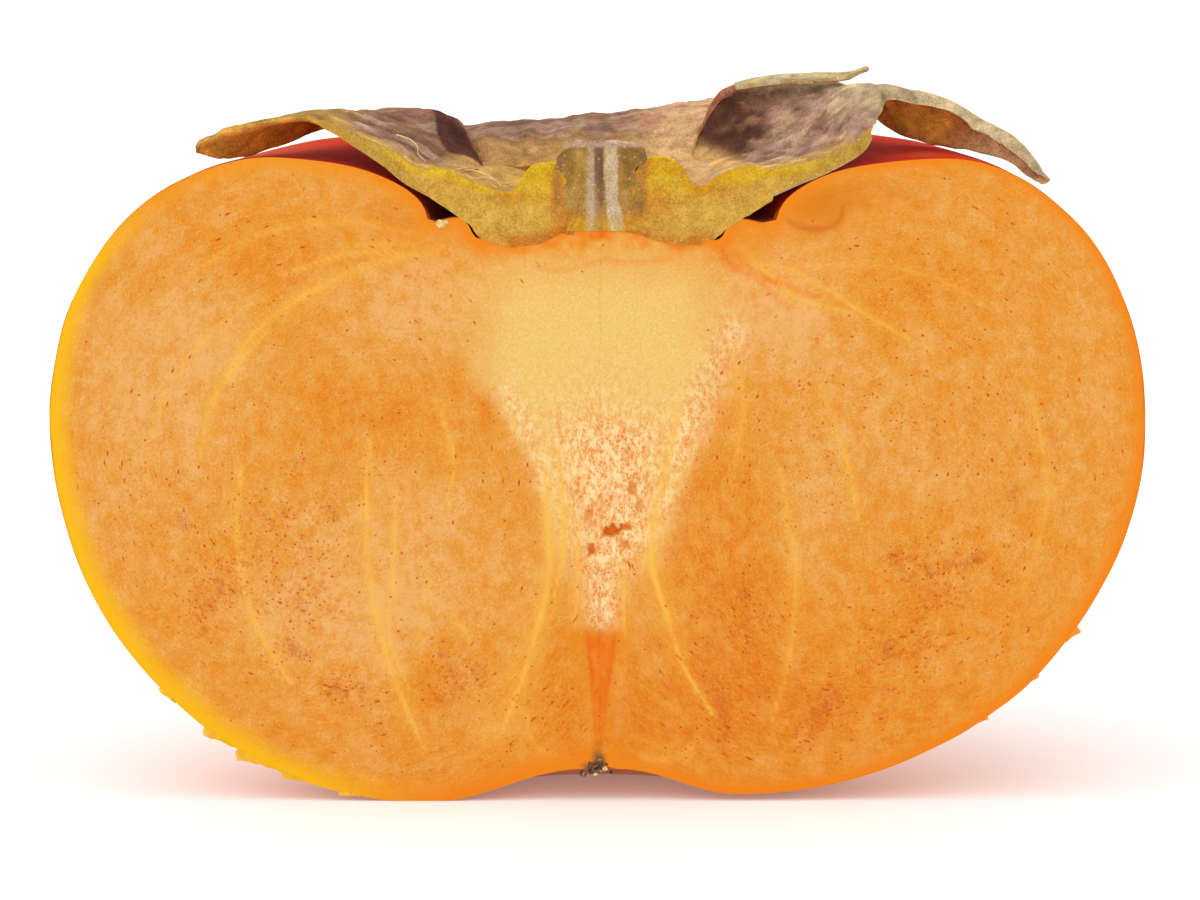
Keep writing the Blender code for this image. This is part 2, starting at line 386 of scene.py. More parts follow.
def side_sizes(angle):
    """The fruit's sizes in one direction: 0 is the right of the cut, pi the left, pi / 2 the back."""
    side = RIGHT if angle < pi / 2 else LEFT
    share = cos(angle) ** 2
    return {key: side[key] * share + BACK[key] * (1 - share) for key in BACK}


def section_heights(angle, shares):
    """Reach, and the upper and lower heights of the outline, at shares of the reach in one direction."""
    size = side_sizes(angle)
    lobe = sin(2 * angle) ** 2
    crown_z = size["crown_z"] + size["lobe_rise"] * lobe
    reach = size["widest_r"] - LOBE_WAIST * lobe
    turn = np.linspace(0, pi / 2, OUTLINE_STEPS)
    pit = smooth_curve(STEM_PIT, OUTLINE_STEPS)
    lip_r = size["crown_r"] - (size["crown_r"] - size["lip_r"]) * np.cos(turn)
    lip_z = LIP_Z + (crown_z - LIP_Z) * np.sin(turn)
    shoulder_r = size["crown_r"] + (reach - size["crown_r"]) * np.sin(turn)
    shoulder_z = size["widest_z"] + (crown_z - size["widest_z"]) * np.cos(turn)
    upper_r = np.concatenate([pit[:, 0], lip_r, shoulder_r])
    upper_z = np.concatenate([pit[:, 1], lip_z, shoulder_z])
    dimple = np.linspace(0, 1, OUTLINE_STEPS)
    dimple_r = DIMPLE_RIM + (size["base_r"] - DIMPLE_RIM) * dimple
    dimple_z = DIMPLE_TOP + (size["base_z"] - DIMPLE_TOP) * (1 - np.cos(pi * dimple)) / 2
    belly_r = size["base_r"] + (reach - size["base_r"]) * np.sin(turn)
    belly_z = size["widest_z"] - (size["widest_z"] - size["base_z"]) * np.cos(turn)
    lower_r = np.concatenate([[0.0], dimple_r, belly_r])
    lower_z = np.concatenate([[APEX_Z], dimple_z, belly_z])
    upper = np.interp(shares * reach, upper_r, upper_z)
    lower = np.interp(shares * reach, lower_r, lower_z)
    return reach, upper, np.maximum(lower, 0.0)


def grown_uneven(points):
    """The slow unevenness of a grown fruit, fading out near the spot it stands on."""
    points = np.array(points, float)
    fade = rise(points[:, 2], 0.0, 5.0)
    points[:, 0] += 0.22 * layered_noise(points, 0.12, 11, 2) * fade
    points[:, 2] += 0.22 * layered_noise(points, 0.14, 21, 2) * fade
    return points


COLUMNS = 210
ROWS = 200
column_shares = np.sin(pi / 2 * np.linspace(0, 1, COLUMNS + 1) ** 1.3)
print("closest columns", round(38.8 * column_shares[1], 3), "mm apart")

# %% [markdown]
# ## Cut flesh
# The knife left a flat, moist face. Its picture is all in the tissue: a pale core under the calyx that
# narrows to a lacy white column, yellow bundles that run down beside it to the blossom end, flesh with
# fibres curling round each lobe, and tiny dark tannin specks lined up with them. The face is a fine grid,
# and every one of these tissues is worked out for each grid point from its distance to a few curves.
# The low relief of lace and hollows is real geometry, the finest grain is left to the material.

# %% The grid of the cut face
right_reach, right_top, right_bottom = section_heights(0.0, column_shares)
left_reach, left_top, left_bottom = section_heights(pi, column_shares)
face_x = np.concatenate([-left_reach * column_shares[:0:-1], right_reach * column_shares])
face_top = np.concatenate([left_top[:0:-1], right_top])
face_bottom = np.concatenate([left_bottom[:0:-1], right_bottom])
row_shares = np.linspace(0, 1, ROWS + 1)
grid_x = np.repeat(face_x[:, None], ROWS + 1, axis=1)
grid_z = face_bottom[:, None] + (face_top - face_bottom)[:, None] * row_shares
face_index = np.arange(1, 1 + grid_x[1:-1].size).reshape(-1, ROWS + 1)
face_index = np.vstack([np.zeros(ROWS + 1, int), face_index, np.full(ROWS + 1, face_index.max() + 1)])
face_points = np.zeros((face_index.max() + 1, 3))
face_points[face_index.ravel(), 0] = grid_x.ravel()
face_points[face_index.ravel(), 2] = grid_z.ravel()
face_points = grown_uneven(face_points)
FX = face_points[:, 0]
FZ = face_points[:, 2]
rim_loop = np.concatenate([face_index[:, 0], face_index[-2:0:-1, -1]])

# %% How far each point is from the skin
rim_tree = KDTree(len(rim_loop))
for number, vertex in enumerate(rim_loop):
    rim_tree.insert(face_points[vertex], number)
rim_tree.balance()
from_skin = np.array([rim_tree.find(point)[2] for point in face_points])
print("deepest point under the skin", round(float(from_skin.max()), 1), "mm")


# %% Curves and patches in the face
def near_curve(points, width, x=FX, z=FZ):
    """1 on a curve through the points, falling softly to 0 about a width away. Width may change along it."""
    line = smooth_curve(points, 28)
    widths = smooth_curve(np.atleast_1d(width) * np.ones(2) if np.size(width) < 2 else width, len(line))
    best = np.zeros_like(x)
    for start, end, reach in zip(line, line[1:], widths):
        along = end - start
        share = np.clip(((x - start[0]) * along[0] + (z - start[1]) * along[1]) / (along @ along), 0, 1)
        gap = np.hypot(x - start[0] - share * along[0], z - start[1] - share * along[1])
        best = np.maximum(best, np.exp(-((gap / reach) ** 2)))
    return best


def patch(x0, z0, width, height, x=FX, z=FZ):
    return np.exp(-(((x - x0) / width) ** 2) - ((z - z0) / height) ** 2)


# %% Core, lace column and glow
wobble = layered_noise(face_points, 0.35, 31)
fine_wobble = layered_noise(face_points, 1.6, 41)
core_heights = [10.0, 14.8, 18.0, 21.5, 24.5, 28.0, 31.5, 35.0, 38.5, 42.0]
core_left = np.interp(FZ, core_heights, [-2.4, -3.2, -3.9, -4.1, -4.6, -6.9, -9.3, -9.6, -9.8, -9.6])
core_right = np.interp(FZ, core_heights, [2.4, 3.7, 4.4, 5.2, 6.6, 7.4, 8.6, 9.6, 9.8, 9.4])
core_soft = 0.8 + 3.4 * rise(FZ, 25.0, 35.0)
core_inside = np.minimum(FX - core_left, core_right - FX) + 0.7 * wobble + 0.25 * fine_wobble
core = rise(core_inside / core_soft, -0.7, 1.0) * (0.06 + 0.94 * rise(FZ, 15.5, 23.0)) * rise(FZ, 11.5, 13.0)
core *= 1 - 0.35 * rise(FZ, 35.5, 39.0) - 0.3 * rise(np.abs(FX), 4.5, 9.5) * rise(FZ, 30.0, 36.0)
lace_line = [(0.5, 28.8), (0.6, 25.0), (0.9, 21.0), (0.3, 17.0), (0.1, 13.4)]
lace = near_curve(lace_line, [4.6, 4.0, 3.4, 1.7, 1.1])
lace *= rise(FZ, 11.9, 12.9) * (1 - 0.75 * rise(FZ, 25.5, 31.0))
lace_sides = np.maximum(
    near_curve([(9.4, 33.6), (7.4, 29.5), (5.4, 25.0), (4.4, 21.5)], [1.4, 1.5, 1.3, 1.0]),
    0.7 * near_curve([(-6.8, 29.8), (-4.9, 26.6), (-3.6, 22.5)], [1.1, 1.0, 0.9]),
)
lace = np.clip(np.maximum(lace * 1.15, 0.8 * lace_sides) * (1.0 + 0.45 * wobble) - 0.05, 0, 1)
tube_half = np.interp(FZ, [4.0, 6.0, 8.0, 12.3], [0.28, 0.42, 0.62, 1.15])
tube_gap = np.abs(FX - 0.14 * rise(FZ, 6.0, 12.0) + 0.12 * wobble) / tube_half
tube_edges = np.exp(-(((tube_gap - 0.88) / 0.16) ** 2)) * rise(FZ, 6.5, 9.5)
line_to_blossom = 0.66 + 0.5 * fine_wobble + 0.15 * wobble + 0.5 * tube_edges
line_to_blossom = line_to_blossom * rise(-tube_gap, -1.3, -0.75) * rise(FZ, 3.6, 5.5)
line_to_blossom = line_to_blossom * rise(-FZ, -12.9 + 0.5 * fine_wobble, -11.5)
tube_halo = rise(-tube_gap, -3.2, -0.8) * rise(FZ, 3.0, 6.0) * rise(-FZ, -12.6, -11.0)
bed_line = np.interp(np.abs(FX), [0, 2.6, 5.5, 8.4], [41.1, 40.9, 40.1, 40.6])
bed_streak = rise(FZ - bed_line + 0.35 * fine_wobble, -0.75, -0.1) * rise(-np.abs(FX), -11.5, -8.0)
under_calyx = rise(FZ, 38.4, 40.2) * rise(10.0 - np.abs(FX), 0.0, 2.0)
ear_glow = 0.9 * patch(14.5, 43.0, 3.6, 2.0) + 0.45 * patch(-12.5, 41.0, 3.6, 1.6)
ear_glow = ear_glow + 0.5 * patch(10.6, 40.0, 1.6, 1.6)
glow = under_calyx * (0.6 + 0.7 * fine_wobble) + ear_glow + 0.5 * tube_halo
glow = glow + 0.5 * patch(-1.4, 12.0, 1.6, 0.9)
glow = glow + 0.6 * patch(0.5, 3.4, 1.8, 1.3) + 0.4 * patch(1.6, 11.8, 0.8, 1.2)
glow = np.clip(glow + 0.25 * wobble * under_calyx, 0, 1)
bed_fibres = near_curve([(-3.2, 40.9), (-1.2, 41.4), (1.0, 41.1), (2.4, 41.4), (4.4, 40.5)], 0.3)
right_fibre = near_curve([(8.3, 40.4), (9.3, 38.6), (11.8, 37.6), (15.4, 36.3)], [0.45, 0.3, 0.2])
bed_fibres = np.maximum(bed_fibres, right_fibre)
bed_fibres = np.maximum(bed_fibres, near_curve([(9.6, 39.4), (11.6, 37.2), (13.4, 35.4)], [0.3, 0.16]))
bed_fibres = np.maximum(bed_fibres, 0.8 * near_curve([(5.6, 40.0), (7.4, 40.2), (8.6, 39.4)], 0.25))
arc_points = [(-4.6, 38.5), (-3.2, 38.2), (-1.6, 38.4), (0.2, 38.9), (2.4, 38.7), (5.0, 39.0)]
arc_line = near_curve(arc_points, 0.22)

# %% Yellow bundles
BUNDLES = [
    ([(-3.9, 24.0), (-3.7, 19.5), (-3.6, 16.5), (-4.4, 12.8), (-5.6, 8.8), (-6.9, 5.2)], 0.38, 1.0),
    ([(-3.0, 25.5), (-2.6, 21.0), (-2.7, 17.6), (-3.4, 14.5)], 0.26, 0.9),
    ([(-5.4, 8.8), (-5.2, 5.8), (-4.5, 3.9), (-2.7, 3.2)], 0.22, 0.5),
    ([(5.6, 28.0), (4.5, 23.2), (3.7, 19.4), (3.8, 16.6), (4.9, 13.2), (5.9, 10.0), (8.0, 6.4)], 0.34, 1.0),
    ([(-1.7, 20.0), (-1.6, 15.8), (-1.8, 12.4)], 0.2, 0.8),
    ([(1.7, 17.4), (1.7, 14.6), (1.8, 12.0)], 0.2, 0.8),
    ([(-11.4, 39.6), (-16.0, 38.6), (-20.6, 36.6), (-24.6, 33.6), (-27.6, 28.6)], 0.3, 0.75),
    ([(-11.0, 39.9), (-14.5, 40.1), (-18.2, 39.8)], 0.2, 0.6),
    ([(9.4, 40.6), (11.6, 38.2), (14.2, 36.2), (17.6, 35.2)], 0.3, 0.7),
    ([(9.8, 38.9), (14.0, 38.0), (19.0, 35.0), (23.6, 32.4)], 0.2, 0.6),
    ([(15.6, 30.0), (17.3, 25.6), (18.4, 20.4)], 0.3, 0.6),
    ([(-25.6, 24.0), (-25.8, 18.5), (-24.6, 13.0), (-22.2, 8.6)], 0.36, 0.75),
    ([(-16.4, 26.0), (-16.6, 18.0), (-15.2, 10.4), (-12.6, 3.8)], 0.36, 0.85),
    ([(-14.6, 23.0), (-14.7, 17.0), (-15.1, 12.2), (-13.6, 8.0)], 0.25, 0.7),
    ([(-23.6, 34.0), (-27.4, 29.0), (-28.6, 24.0)], 0.3, 0.65),
    ([(12.8, 24.0), (13.9, 17.0), (13.6, 11.0), (12.2, 5.2)], 0.32, 0.55),
    ([(30.6, 30.0), (31.8, 22.0), (30.4, 15.6)], 0.3, 0.45),
    ([(9.2, 33.2), (10.2, 28.6), (9.6, 24.4)], 0.3, 0.5),
    ([(-11.6, 29.0), (-10.4, 24.8), (-10.9, 20.6)], 0.24, 0.55),
    ([(-12.6, 40.7), (-18.0, 41.6), (-24.0, 40.8), (-29.6, 37.6)], 0.25, 0.5),
    ([(-12.4, 39.2), (-17.4, 39.4), (-22.6, 37.9)], 0.18, 0.7),
    ([(-22.0, 37.2), (-27.8, 33.6), (-31.4, 28.0), (-32.4, 21.8)], 0.22, 0.4),
    ([(-12.4, 17.6), (-12.2, 14.4), (-13.2, 11.0)], 0.2, 0.5),
    ([(-10.8, 13.4), (-9.6, 12.4), (-9.2, 11.2)], 0.2, 0.6),
    ([(2.2, 3.7), (4.0, 3.0), (6.0, 3.5), (7.2, 4.9)], 0.24, 0.5),
    ([(2.6, 4.8), (4.4, 3.9), (6.2, 4.6)], 0.18, 0.35),
    ([(11.8, 38.2), (17.0, 38.6), (23.0, 37.9), (28.4, 35.2)], 0.2, 0.4),
]
bundles = np.zeros_like(FX)
for points, width, strength_share in BUNDLES:
    thin, wide = width * np.array([[0.3, 0.75, 0.7, 0.2], [1.0, 2.6, 2.4, 0.6]])
    bundles = np.maximum(bundles, strength_share * near_curve(points, thin))
    bundles = np.maximum(bundles, 0.3 * strength_share * near_curve(points, wide))
bundles *= 0.75 + 0.5 * layered_noise(face_points, 0.9, 51)
bundle_zone = near_curve([(-4.0, 14.5), (-5.8, 9.0), (-7.2, 5.4)], [0.9, 1.3, 1.9])
bundles = np.clip(np.maximum(1.15 * bundles, 0.3 * bundle_zone), 0, 1)

# %% Paler and deeper flesh, and where the tannin shows
PALE_PATCHES = [
    (-30.0, 32.0, 6.5, 8.0, 0.75), (-33.0, 24.0, 4.0, 7.0, 0.35), (-20.0, 15.5, 7.0, 7.0, 0.6),
    (-11.5, 20.0, 5.0, 5.0, 0.55), (-14.0, 12.0, 4.0, 4.0, 0.7), (-13.0, 35.5, 6.0, 5.0, 0.9),
    (12.5, 35.0, 5.5, 4.0, 1.0), (20.0, 26.0, 6.0, 5.0, 0.3), (14.5, 20.0, 3.5, 5.0, 0.45),
    (33.0, 30.0, 5.0, 9.0, 0.3),
]
DEEP_PATCHES = [
    (-17.0, 29.5, 7.0, 4.5, 0.55), (-22.0, 38.5, 8.0, 3.0, 0.45), (-25.5, 21.0, 5.0, 6.0, 0.25),
    (-12.5, 9.0, 2.6, 3.4, 0.7), (-9.0, 25.5, 3.4, 5.0, 0.2), (9.5, 19.0, 4.5, 6.0, 0.65),
    (9.0, 9.0, 5.5, 6.0, 0.75), (22.0, 36.5, 8.0, 3.5, 0.4), (22.0, 15.0, 5.0, 4.0, 0.5),
    (17.5, 7.0, 8.0, 4.0, 0.5), (-2.5, 6.5, 3.0, 4.5, 0.5), (2.5, 5.5, 3.0, 4.0, 0.6),
]
pale = sum(share * patch(x0, z0, wide, high) for x0, z0, wide, high, share in PALE_PATCHES)
pale = pale - sum(share * patch(x0, z0, wide, high) for x0, z0, wide, high, share in DEEP_PATCHES)
pale = np.clip(0.5 + 0.5 * pale + 0.16 * wobble, 0, 1)
TANNIN_PATCHES = [
    (-27.4, 15.5, 2.6, 2.2, 1.0), (-21.3, 14.8, 2.8, 1.9, 0.9), (-18.2, 8.4, 2.6, 1.6, 0.8),
    (-10.4, 9.0, 2.4, 1.8, 1.0), (-20.6, 17.8, 3.0, 3.0, 0.6), (-26.3, 19.2, 5.0, 4.0, 0.5),
    (-33.5, 22.5, 3.0, 4.0, 0.35), (23.4, 16.5, 3.0, 2.4, 0.8), (26.4, 16.6, 2.6, 2.0, 0.8),
    (21.0, 11.6, 2.4, 2.4, 0.8), (15.6, 6.6, 2.6, 2.0, 0.9), (24.2, 12.0, 2.4, 2.0, 0.7),
    (10.4, 14.0, 2.4, 3.6, 0.8), (8.8, 6.6, 2.6, 3.0, 0.7), (24.0, 27.0, 6.0, 4.0, 0.35),
    (12.6, 26.6, 5.0, 5.0, 0.3), (-5.0, 5.6, 3.0, 3.0, 0.5),
]
STREAKS = [
    ([(-11.3, 10.6), (-10.9, 9.6), (-9.6, 8.9), (-8.6, 9.6)], 0.35, 0.8),
    ([(-9.7, 8.3), (-11.0, 7.5)], 0.3, 0.7),
    ([(-26.2, 16.4), (-27.2, 15.3), (-28.2, 14.6)], 0.5, 0.9), ([(-29.8, 20.6), (-29.6, 19.4)], 0.45, 0.6),
    ([(-21.3, 24.6), (-21.5, 23.8)], 0.3, 0.7), ([(-22.6, 20.4), (-21.9, 19.2), (-21.2, 18.6)], 0.6, 0.45),
    ([(-22.2, 15.6), (-21.0, 14.6), (-20.4, 15.6)], 0.6, 0.6), ([(-19.4, 21.9), (-18.9, 20.6)], 0.4, 0.6),
    ([(-27.6, 12.1), (-27.4, 11.4)], 0.5, 0.5), ([(-28.8, 13.4), (-28.4, 12.5)], 0.35, 0.8),
    ([(-22.1, 11.4), (-21.3, 10.6)], 0.4, 0.8), ([(-19.3, 8.7), (-18.3, 7.9), (-17.4, 7.7)], 0.45, 1.0),
    ([(-16.2, 5.4), (-15.8, 4.6)], 0.35, 0.7), ([(8.2, 7.6), (8.8, 6.6), (8.9, 4.7), (9.3, 3.2)], 0.3, 0.9),
    ([(10.4, 15.4), (10.6, 13.8), (10.3, 12.2)], 0.25, 0.7),
    ([(16.3, 7.4), (15.6, 6.3), (14.7, 5.0)], 0.45, 1.0),
    ([(21.0, 17.6), (23.4, 16.6), (25.4, 17.2)], 0.5, 0.85), ([(26.0, 17.0), (27.0, 17.6)], 0.35, 0.8),
    ([(20.4, 11.4), (21.0, 10.6)], 0.5, 0.8), ([(23.6, 28.2), (24.0, 25.0)], 0.3, 0.5),
    ([(29.3, 22.8), (29.4, 21.8)], 0.25, 0.8), ([(26.4, 28.4), (26.7, 27.4)], 0.3, 0.5),
    ([(31.8, 28.0), (32.3, 25.8)], 0.3, 0.5), ([(7.6, 11.4), (7.0, 9.4), (7.4, 7.8)], 0.3, 0.5),
]
streak_specks = np.zeros_like(FX)
smudge = np.zeros_like(FX)
for points, width, share in STREAKS:
    streak_specks = np.maximum(streak_specks, share * near_curve(points, 2.0 * width))
    smudge = np.maximum(smudge, share * near_curve(points, 1.1 * width))
smudge *= rise(value_noise(face_points, 1.7, 57), 0.3, 0.75)
tannin = sum(share * patch(x0, z0, wide, high) for x0, z0, wide, high, share in TANNIN_PATCHES)
clumps = rise(value_noise(face_points, 0.55, 55), 0.45, 0.85)
tannin_grain = rise(value_noise(face_points, 1.1, 56), 0.35, 0.7)
tannin = 0.07 + 0.16 * clumps + 1.1 * tannin * (0.35 + 0.9 * tannin_grain)
tannin = np.clip(tannin + 1.1 * streak_specks, 0, 1) * (1 - core) * rise(from_skin, 0.6, 2.0)

# %% Fibre direction
LOBE_CENTRE = (19.0, 24.0)
lobe_x = (np.abs(FX) - LOBE_CENTRE[0]) / 20.0
lobe_z = (FZ - LOBE_CENTRE[1]) / 22.0
lobe_out = np.hypot(lobe_x, lobe_z)
lobe_turn = np.arctan2(lobe_z, lobe_x)
flow_x, flow_z = 5.0 * np.cos(lobe_turn), 5.0 * np.sin(lobe_turn) * np.sign(FX + 1e-9)
flow = np.stack([flow_x, flow_z, 20.0 * lobe_out], axis=1)

# %% Relief of the cut face
grain = 0.022 * layered_noise(face_points, 1.3, 61, 3)
lace_noise = value_noise(face_points, 1.5, 71) * 0.65 + value_noise(face_points, 3.1, 72) * 0.35
lace_hollows = rise(lace_noise, 0.52, 0.72)
HOLLOWS = [
    (0.9, 19.5, 0.6, 0.5, 1.0), (1.8, 19.9, 0.5, 0.3, 0.8), (-0.7, 18.2, 0.3, 0.6, 0.7),
    (1.9, 18.5, 0.4, 0.45, 0.5), (2.35, 22.6, 0.4, 0.4, 0.6), (2.8, 21.5, 0.3, 0.5, 0.5),
    (-0.8, 20.8, 0.35, 0.45, 0.45),
]
hollow_wobble = layered_noise(face_points, 2.2, 73, 2)
hollows = np.zeros_like(FX)
for x0, z0, wide, high, depth in HOLLOWS:
    spot = patch(x0, z0, wide, high)
    hollows = np.maximum(hollows, depth * rise(spot + 0.7 * hollow_wobble * rise(spot, 0.05, 0.4), 0.3, 0.6))
relief = grain + 0.1 * lace_hollows * lace + 0.4 * hollows - 0.04 * bundles + 0.12 * line_to_blossom
relief += 0.05 * (1 - rise(from_skin, 0.0, 0.3))
relief *= rise(from_skin, 0.0, 0.05)
face_points[:, 1] = relief
print("deepest hollow", round(float(relief.max()), 2), "mm")

# %% Finish of the cut flesh
flesh, on, surface = start_material("cut_flesh", 0.42, 0.1)
place = on.millimetres()
flow_lines = on.painted("flow", "Vector")


def centred(value, amount):
    """Brings a 0 to 1 value to plus and minus half of an amount."""
    return on.maths("MULTIPLY_ADD", value, amount, -amount / 2)


patches = on.group(cloudy, Vector=place, Scale=0.85, Grain=0.5)
streaks = on.noise(flow_lines, 1.6, 5.0, 0.65)
grit = on.noise(place, 5.5, 3.0, 0.8)
tone = on.plus(on.painted("pale"), centred(patches, 0.55))
tone = on.plus(tone, centred(streaks, 0.7))
tone = on.plus(tone, centred(grit, 1.5))
deep_orange, orange = (0.66, 0.17, 0.007), (0.69, 0.245, 0.017)
light_orange, peach = (0.69, 0.3, 0.05), (0.75, 0.385, 0.13)
body = on.ramp(tone, (0.0, deep_orange), (0.35, orange), (0.65, light_orange), (1.0, peach))
tall = on.node("ShaderNodeMapping", {"Vector": place, "Scale": (1.0, 1.0, 0.65)}).outputs[0]
blots = on.step(on.noise(tall, 1.05, 4.0, 0.7), 0.5, 0.66)
body = on.lay(body, (0.68, 0.2, 0.006), blots, 0.5)
veils = on.step(on.noise(tall, 0.5, 5.0, 0.7), 0.5, 0.68)
body = on.lay(body, (0.75, 0.39, 0.11), veils, 0.3)
core_tone = on.plus(centred(grit, 1.5), 0.5)
core_stops = [(0.2, (0.74, 0.43, 0.09)), (0.5, (0.77, 0.53, 0.155)), (0.8, (0.8, 0.63, 0.25))]
core_shade = on.ramp(core_tone, *core_stops)
body = on.mix(on.times(on.painted("core"), 0.9), body, core_shade)
threads = on.group(fibres, Vector=flow_lines, Scale=3.4, Sharpness=0.7)
body = on.lay(body, (0.8, 0.42, 0.075), threads, 0.22)
stretched = on.node("ShaderNodeMapping", {"Vector": place, "Scale": (1.0, 1.0, 0.55)}).outputs[0]
bent = on.node("ShaderNodeTexNoise", {"Vector": place, "Scale": 1.8, "Detail": 2.0}).outputs["Color"]
bent = on.node("ShaderNodeVectorMath", {0: bent, 3: 0.8}, operation="SCALE").outputs[0]
bent = on.node("ShaderNodeVectorMath", {0: bent, 1: stretched}, operation="ADD").outputs[0]
lace_cells = on.node("ShaderNodeTexVoronoi", {"Vector": bent, "Scale": 3.1}, feature="DISTANCE_TO_EDGE")
lace_line = on.step(lace_cells.outputs["Distance"], 0.16, 0.03)
lace_noise = on.step(on.noise(stretched, 3.0, 4.0, 0.75), 0.45, 0.57)
lace_white = on.maths("MAXIMUM", on.times(lace_line, 0.7), lace_noise)
lace_shade = on.mix(lace_white, (0.73, 0.26, 0.04), (0.85, 0.63, 0.31))
body = on.mix(on.painted("lace"), body, lace_shade)
FACE_SHADES = {"hollow": (0.73, 0.15, 0.008), "bundle": (0.84, 0.45, 0.06), "glow": (0.72, 0.22, 0.004)}
for name, shade in FACE_SHADES.items():
    body = on.lay(body, shade, on.painted(name))
uneven = {0: on.noise(stretched, 2.6, 2.0, 0.6), 1: 0.3, 2: 0.7, 3: 0.65, 4: 1.0}
blush_share = on.times(on.painted("blush"), on.node("ShaderNodeMapRange", uneven).outputs[0])
body = on.lay(body, (0.74, 0.12, 0.0015), blush_share)
tannin_share = on.painted("tannin")
dashes = on.group(specks, Vector=flow_lines, Scale=3.0, Size=0.32, Amount=tannin_share)
dots = on.group(specks, Vector=place, Scale=2.7, Size=0.3, Amount=tannin_share)
tannin_mask = on.maths("MAXIMUM", dashes, dots)
tannin_noise = on.step(on.noise(place, 2.4, 2.0, 0.6), 0.35, 0.6)
tannin_mask = on.times(tannin_mask, tannin_noise)
body = on.lay(body, (0.52, 0.07, 0.003), tannin_mask)
rusty = on.times(on.step(tannin_share, 0.25, 0.75), 0.35)
rusty = on.times(rusty, on.step(on.noise(place, 1.9, 3.0, 0.7), 0.5, 0.62))
body = on.lay(body, (0.52, 0.09, 0.006), rusty)
smeared = on.times(on.painted("smudge"), on.step(on.noise(place, 2.2, 4.0, 0.75), 0.36, 0.6))
body = on.lay(body, (0.5, 0.07, 0.012), smeared)
sparkle = on.group(specks, Vector=place, Scale=4.2, Size=0.22, Amount=0.16)
sparkle = on.times(sparkle, on.step(on.painted("blush"), 0.3, 0.0))
body = on.lay(body, (0.86, 0.66, 0.36), sparkle, 0.45)
# lit_rim_yellow is painted light: the yellow glow of light shining through the skin on the lit left rim.
EDGE_SHADES = {
    "ear": (0.55, 0.13, 0.006), "lit_rim_yellow": (0.84, 0.47, 0.003),
    "rim_orange": (0.78, 0.22, 0.006), "blossom": (0.11, 0.055, 0.022),
}
for name, shade in EDGE_SHADES.items():
    body = on.lay(body, shade, on.painted(name))
fine_relief = on.plus(on.times(grit, 0.6), on.times(streaks, 0.8))
on.finish(surface, body, on.between(patches, 0.34, 0.5), fine_relief, 0.05 * MM)

# %% Make the flesh
BACK_DEPTH = 0.8
BACK_INSET = 0.6


def close_behind(points, loop, depth, inset):
    """A second ring a little behind and inside an edge loop, with the faces that join and fill it."""
    ring = points[loop].copy()
    inward = np.array([0.0, 0.0, 24.0]) - ring
    inward[:, 1] = 0
    ring += inset * inward / np.linalg.norm(inward, axis=1, keepdims=True)
    ring[:, 1] = depth
    numbers = len(points) + np.arange(len(loop))
    faces = grid_faces(np.stack([loop, numbers]), closed=True)
    return np.vstack([points, ring]), faces, numbers.tolist()


all_points, ring_faces, fill = close_behind(face_points, rim_loop, BACK_DEPTH, BACK_INSET)
front_faces = [face[::-1] for face in grid_faces(face_index)]
flesh_piece = make_piece(
    "flesh", all_points, front_faces + ring_faces + [fill], [flesh], ["fruit_half"]
)


def paint_face(name, values):
    """Paints the cut face and leaves the hidden back ring at nought."""
    values = np.asarray(values)
    blank = np.zeros((len(all_points) - len(values),) + values.shape[1:])
    paint(flesh_piece, name, np.concatenate([values, blank]))


left_side = rise(-FX, 8.0, 22.0) * (1 - 0.6 * rise(FZ, 38.0, 45.0))
rim_width = np.interp(FZ, [0.0, 10.0, 28.0, 40.0, 47.0], [0.9, 1.0, 0.95, 0.7, 0.5])
rim_width = rim_width * np.where(FX > 0, 0.62, 1.0)
rim_width = rim_width + 0.2 * wobble
rim_share = rise(-from_skin / rim_width, -2.3, -0.1)
outer_band = 0.26 * np.exp(-from_skin / 2.4)
paint_face("core", core)
paint_face("lace", lace * (1 - hollows))
paint_face("hollow", np.clip(hollows + 0.3 * lace_hollows * lace, 0, 1))
paint_face("bundle", bundles)
paint_face("glow", glow)
blush = 0.95 * line_to_blossom + 0.5 * arc_line * (0.8 + wobble)
blush += 0.75 * bed_streak * (0.5 + fine_wobble)
blush += 0.62 * bed_fibres * (0.85 + 0.7 * fine_wobble)
paint_face("blush", np.clip(blush, 0, 1))
ear = 0.35 * patch(15.4, 42.6, 2.6, 1.3) + 0.3 * patch(19.0, 43.8, 3.8, 1.0)
ear += 0.2 * patch(-13.4, 42.6, 3.0, 1.5)
ear_crease = [(12.9, 42.0), (14.0, 41.3), (15.6, 41.1), (16.8, 41.6), (17.2, 42.6)]
ear += 0.6 * near_curve(ear_crease, [0.2, 0.32, 0.25, 0.12])
ear += 0.35 * near_curve([(-12.4, 42.6), (-13.2, 41.8), (-14.6, 41.6), (-15.4, 42.4)], [0.15, 0.25, 0.12])
paint_face("ear", np.clip(ear * (0.85 + 0.5 * wobble), 0, 1))
paint_face("pale", pale)
paint_face("tannin", 0.75 * tannin)
paint_face("smudge", 0.62 * smudge)
paint_face("flow", flow)
# Painted light: yellow along the left rim, on the lamp's side, for light shining through the thin skin.
paint_face("lit_rim_yellow", np.clip(rim_share * left_side, 0, 1))
orange_band = 0.85 * rim_share + 0.5 * outer_band
paint_face("rim_orange", np.clip(orange_band * (1 - left_side) + 0.5 * outer_band, 0, 1))
stain = 0.75 * rise(patch(-0.1, 2.4, 0.6, 2.1) + 0.3 * fine_wobble, 0.25, 0.9) * rise(-FZ, -5.4, -3.0)
stain += 0.6 * rise(patch(-0.6, 2.5, 1.3, 0.45) + 0.3 * fine_wobble, 0.4, 0.9)
paint_face("blossom", np.clip(stain, 0, 1))

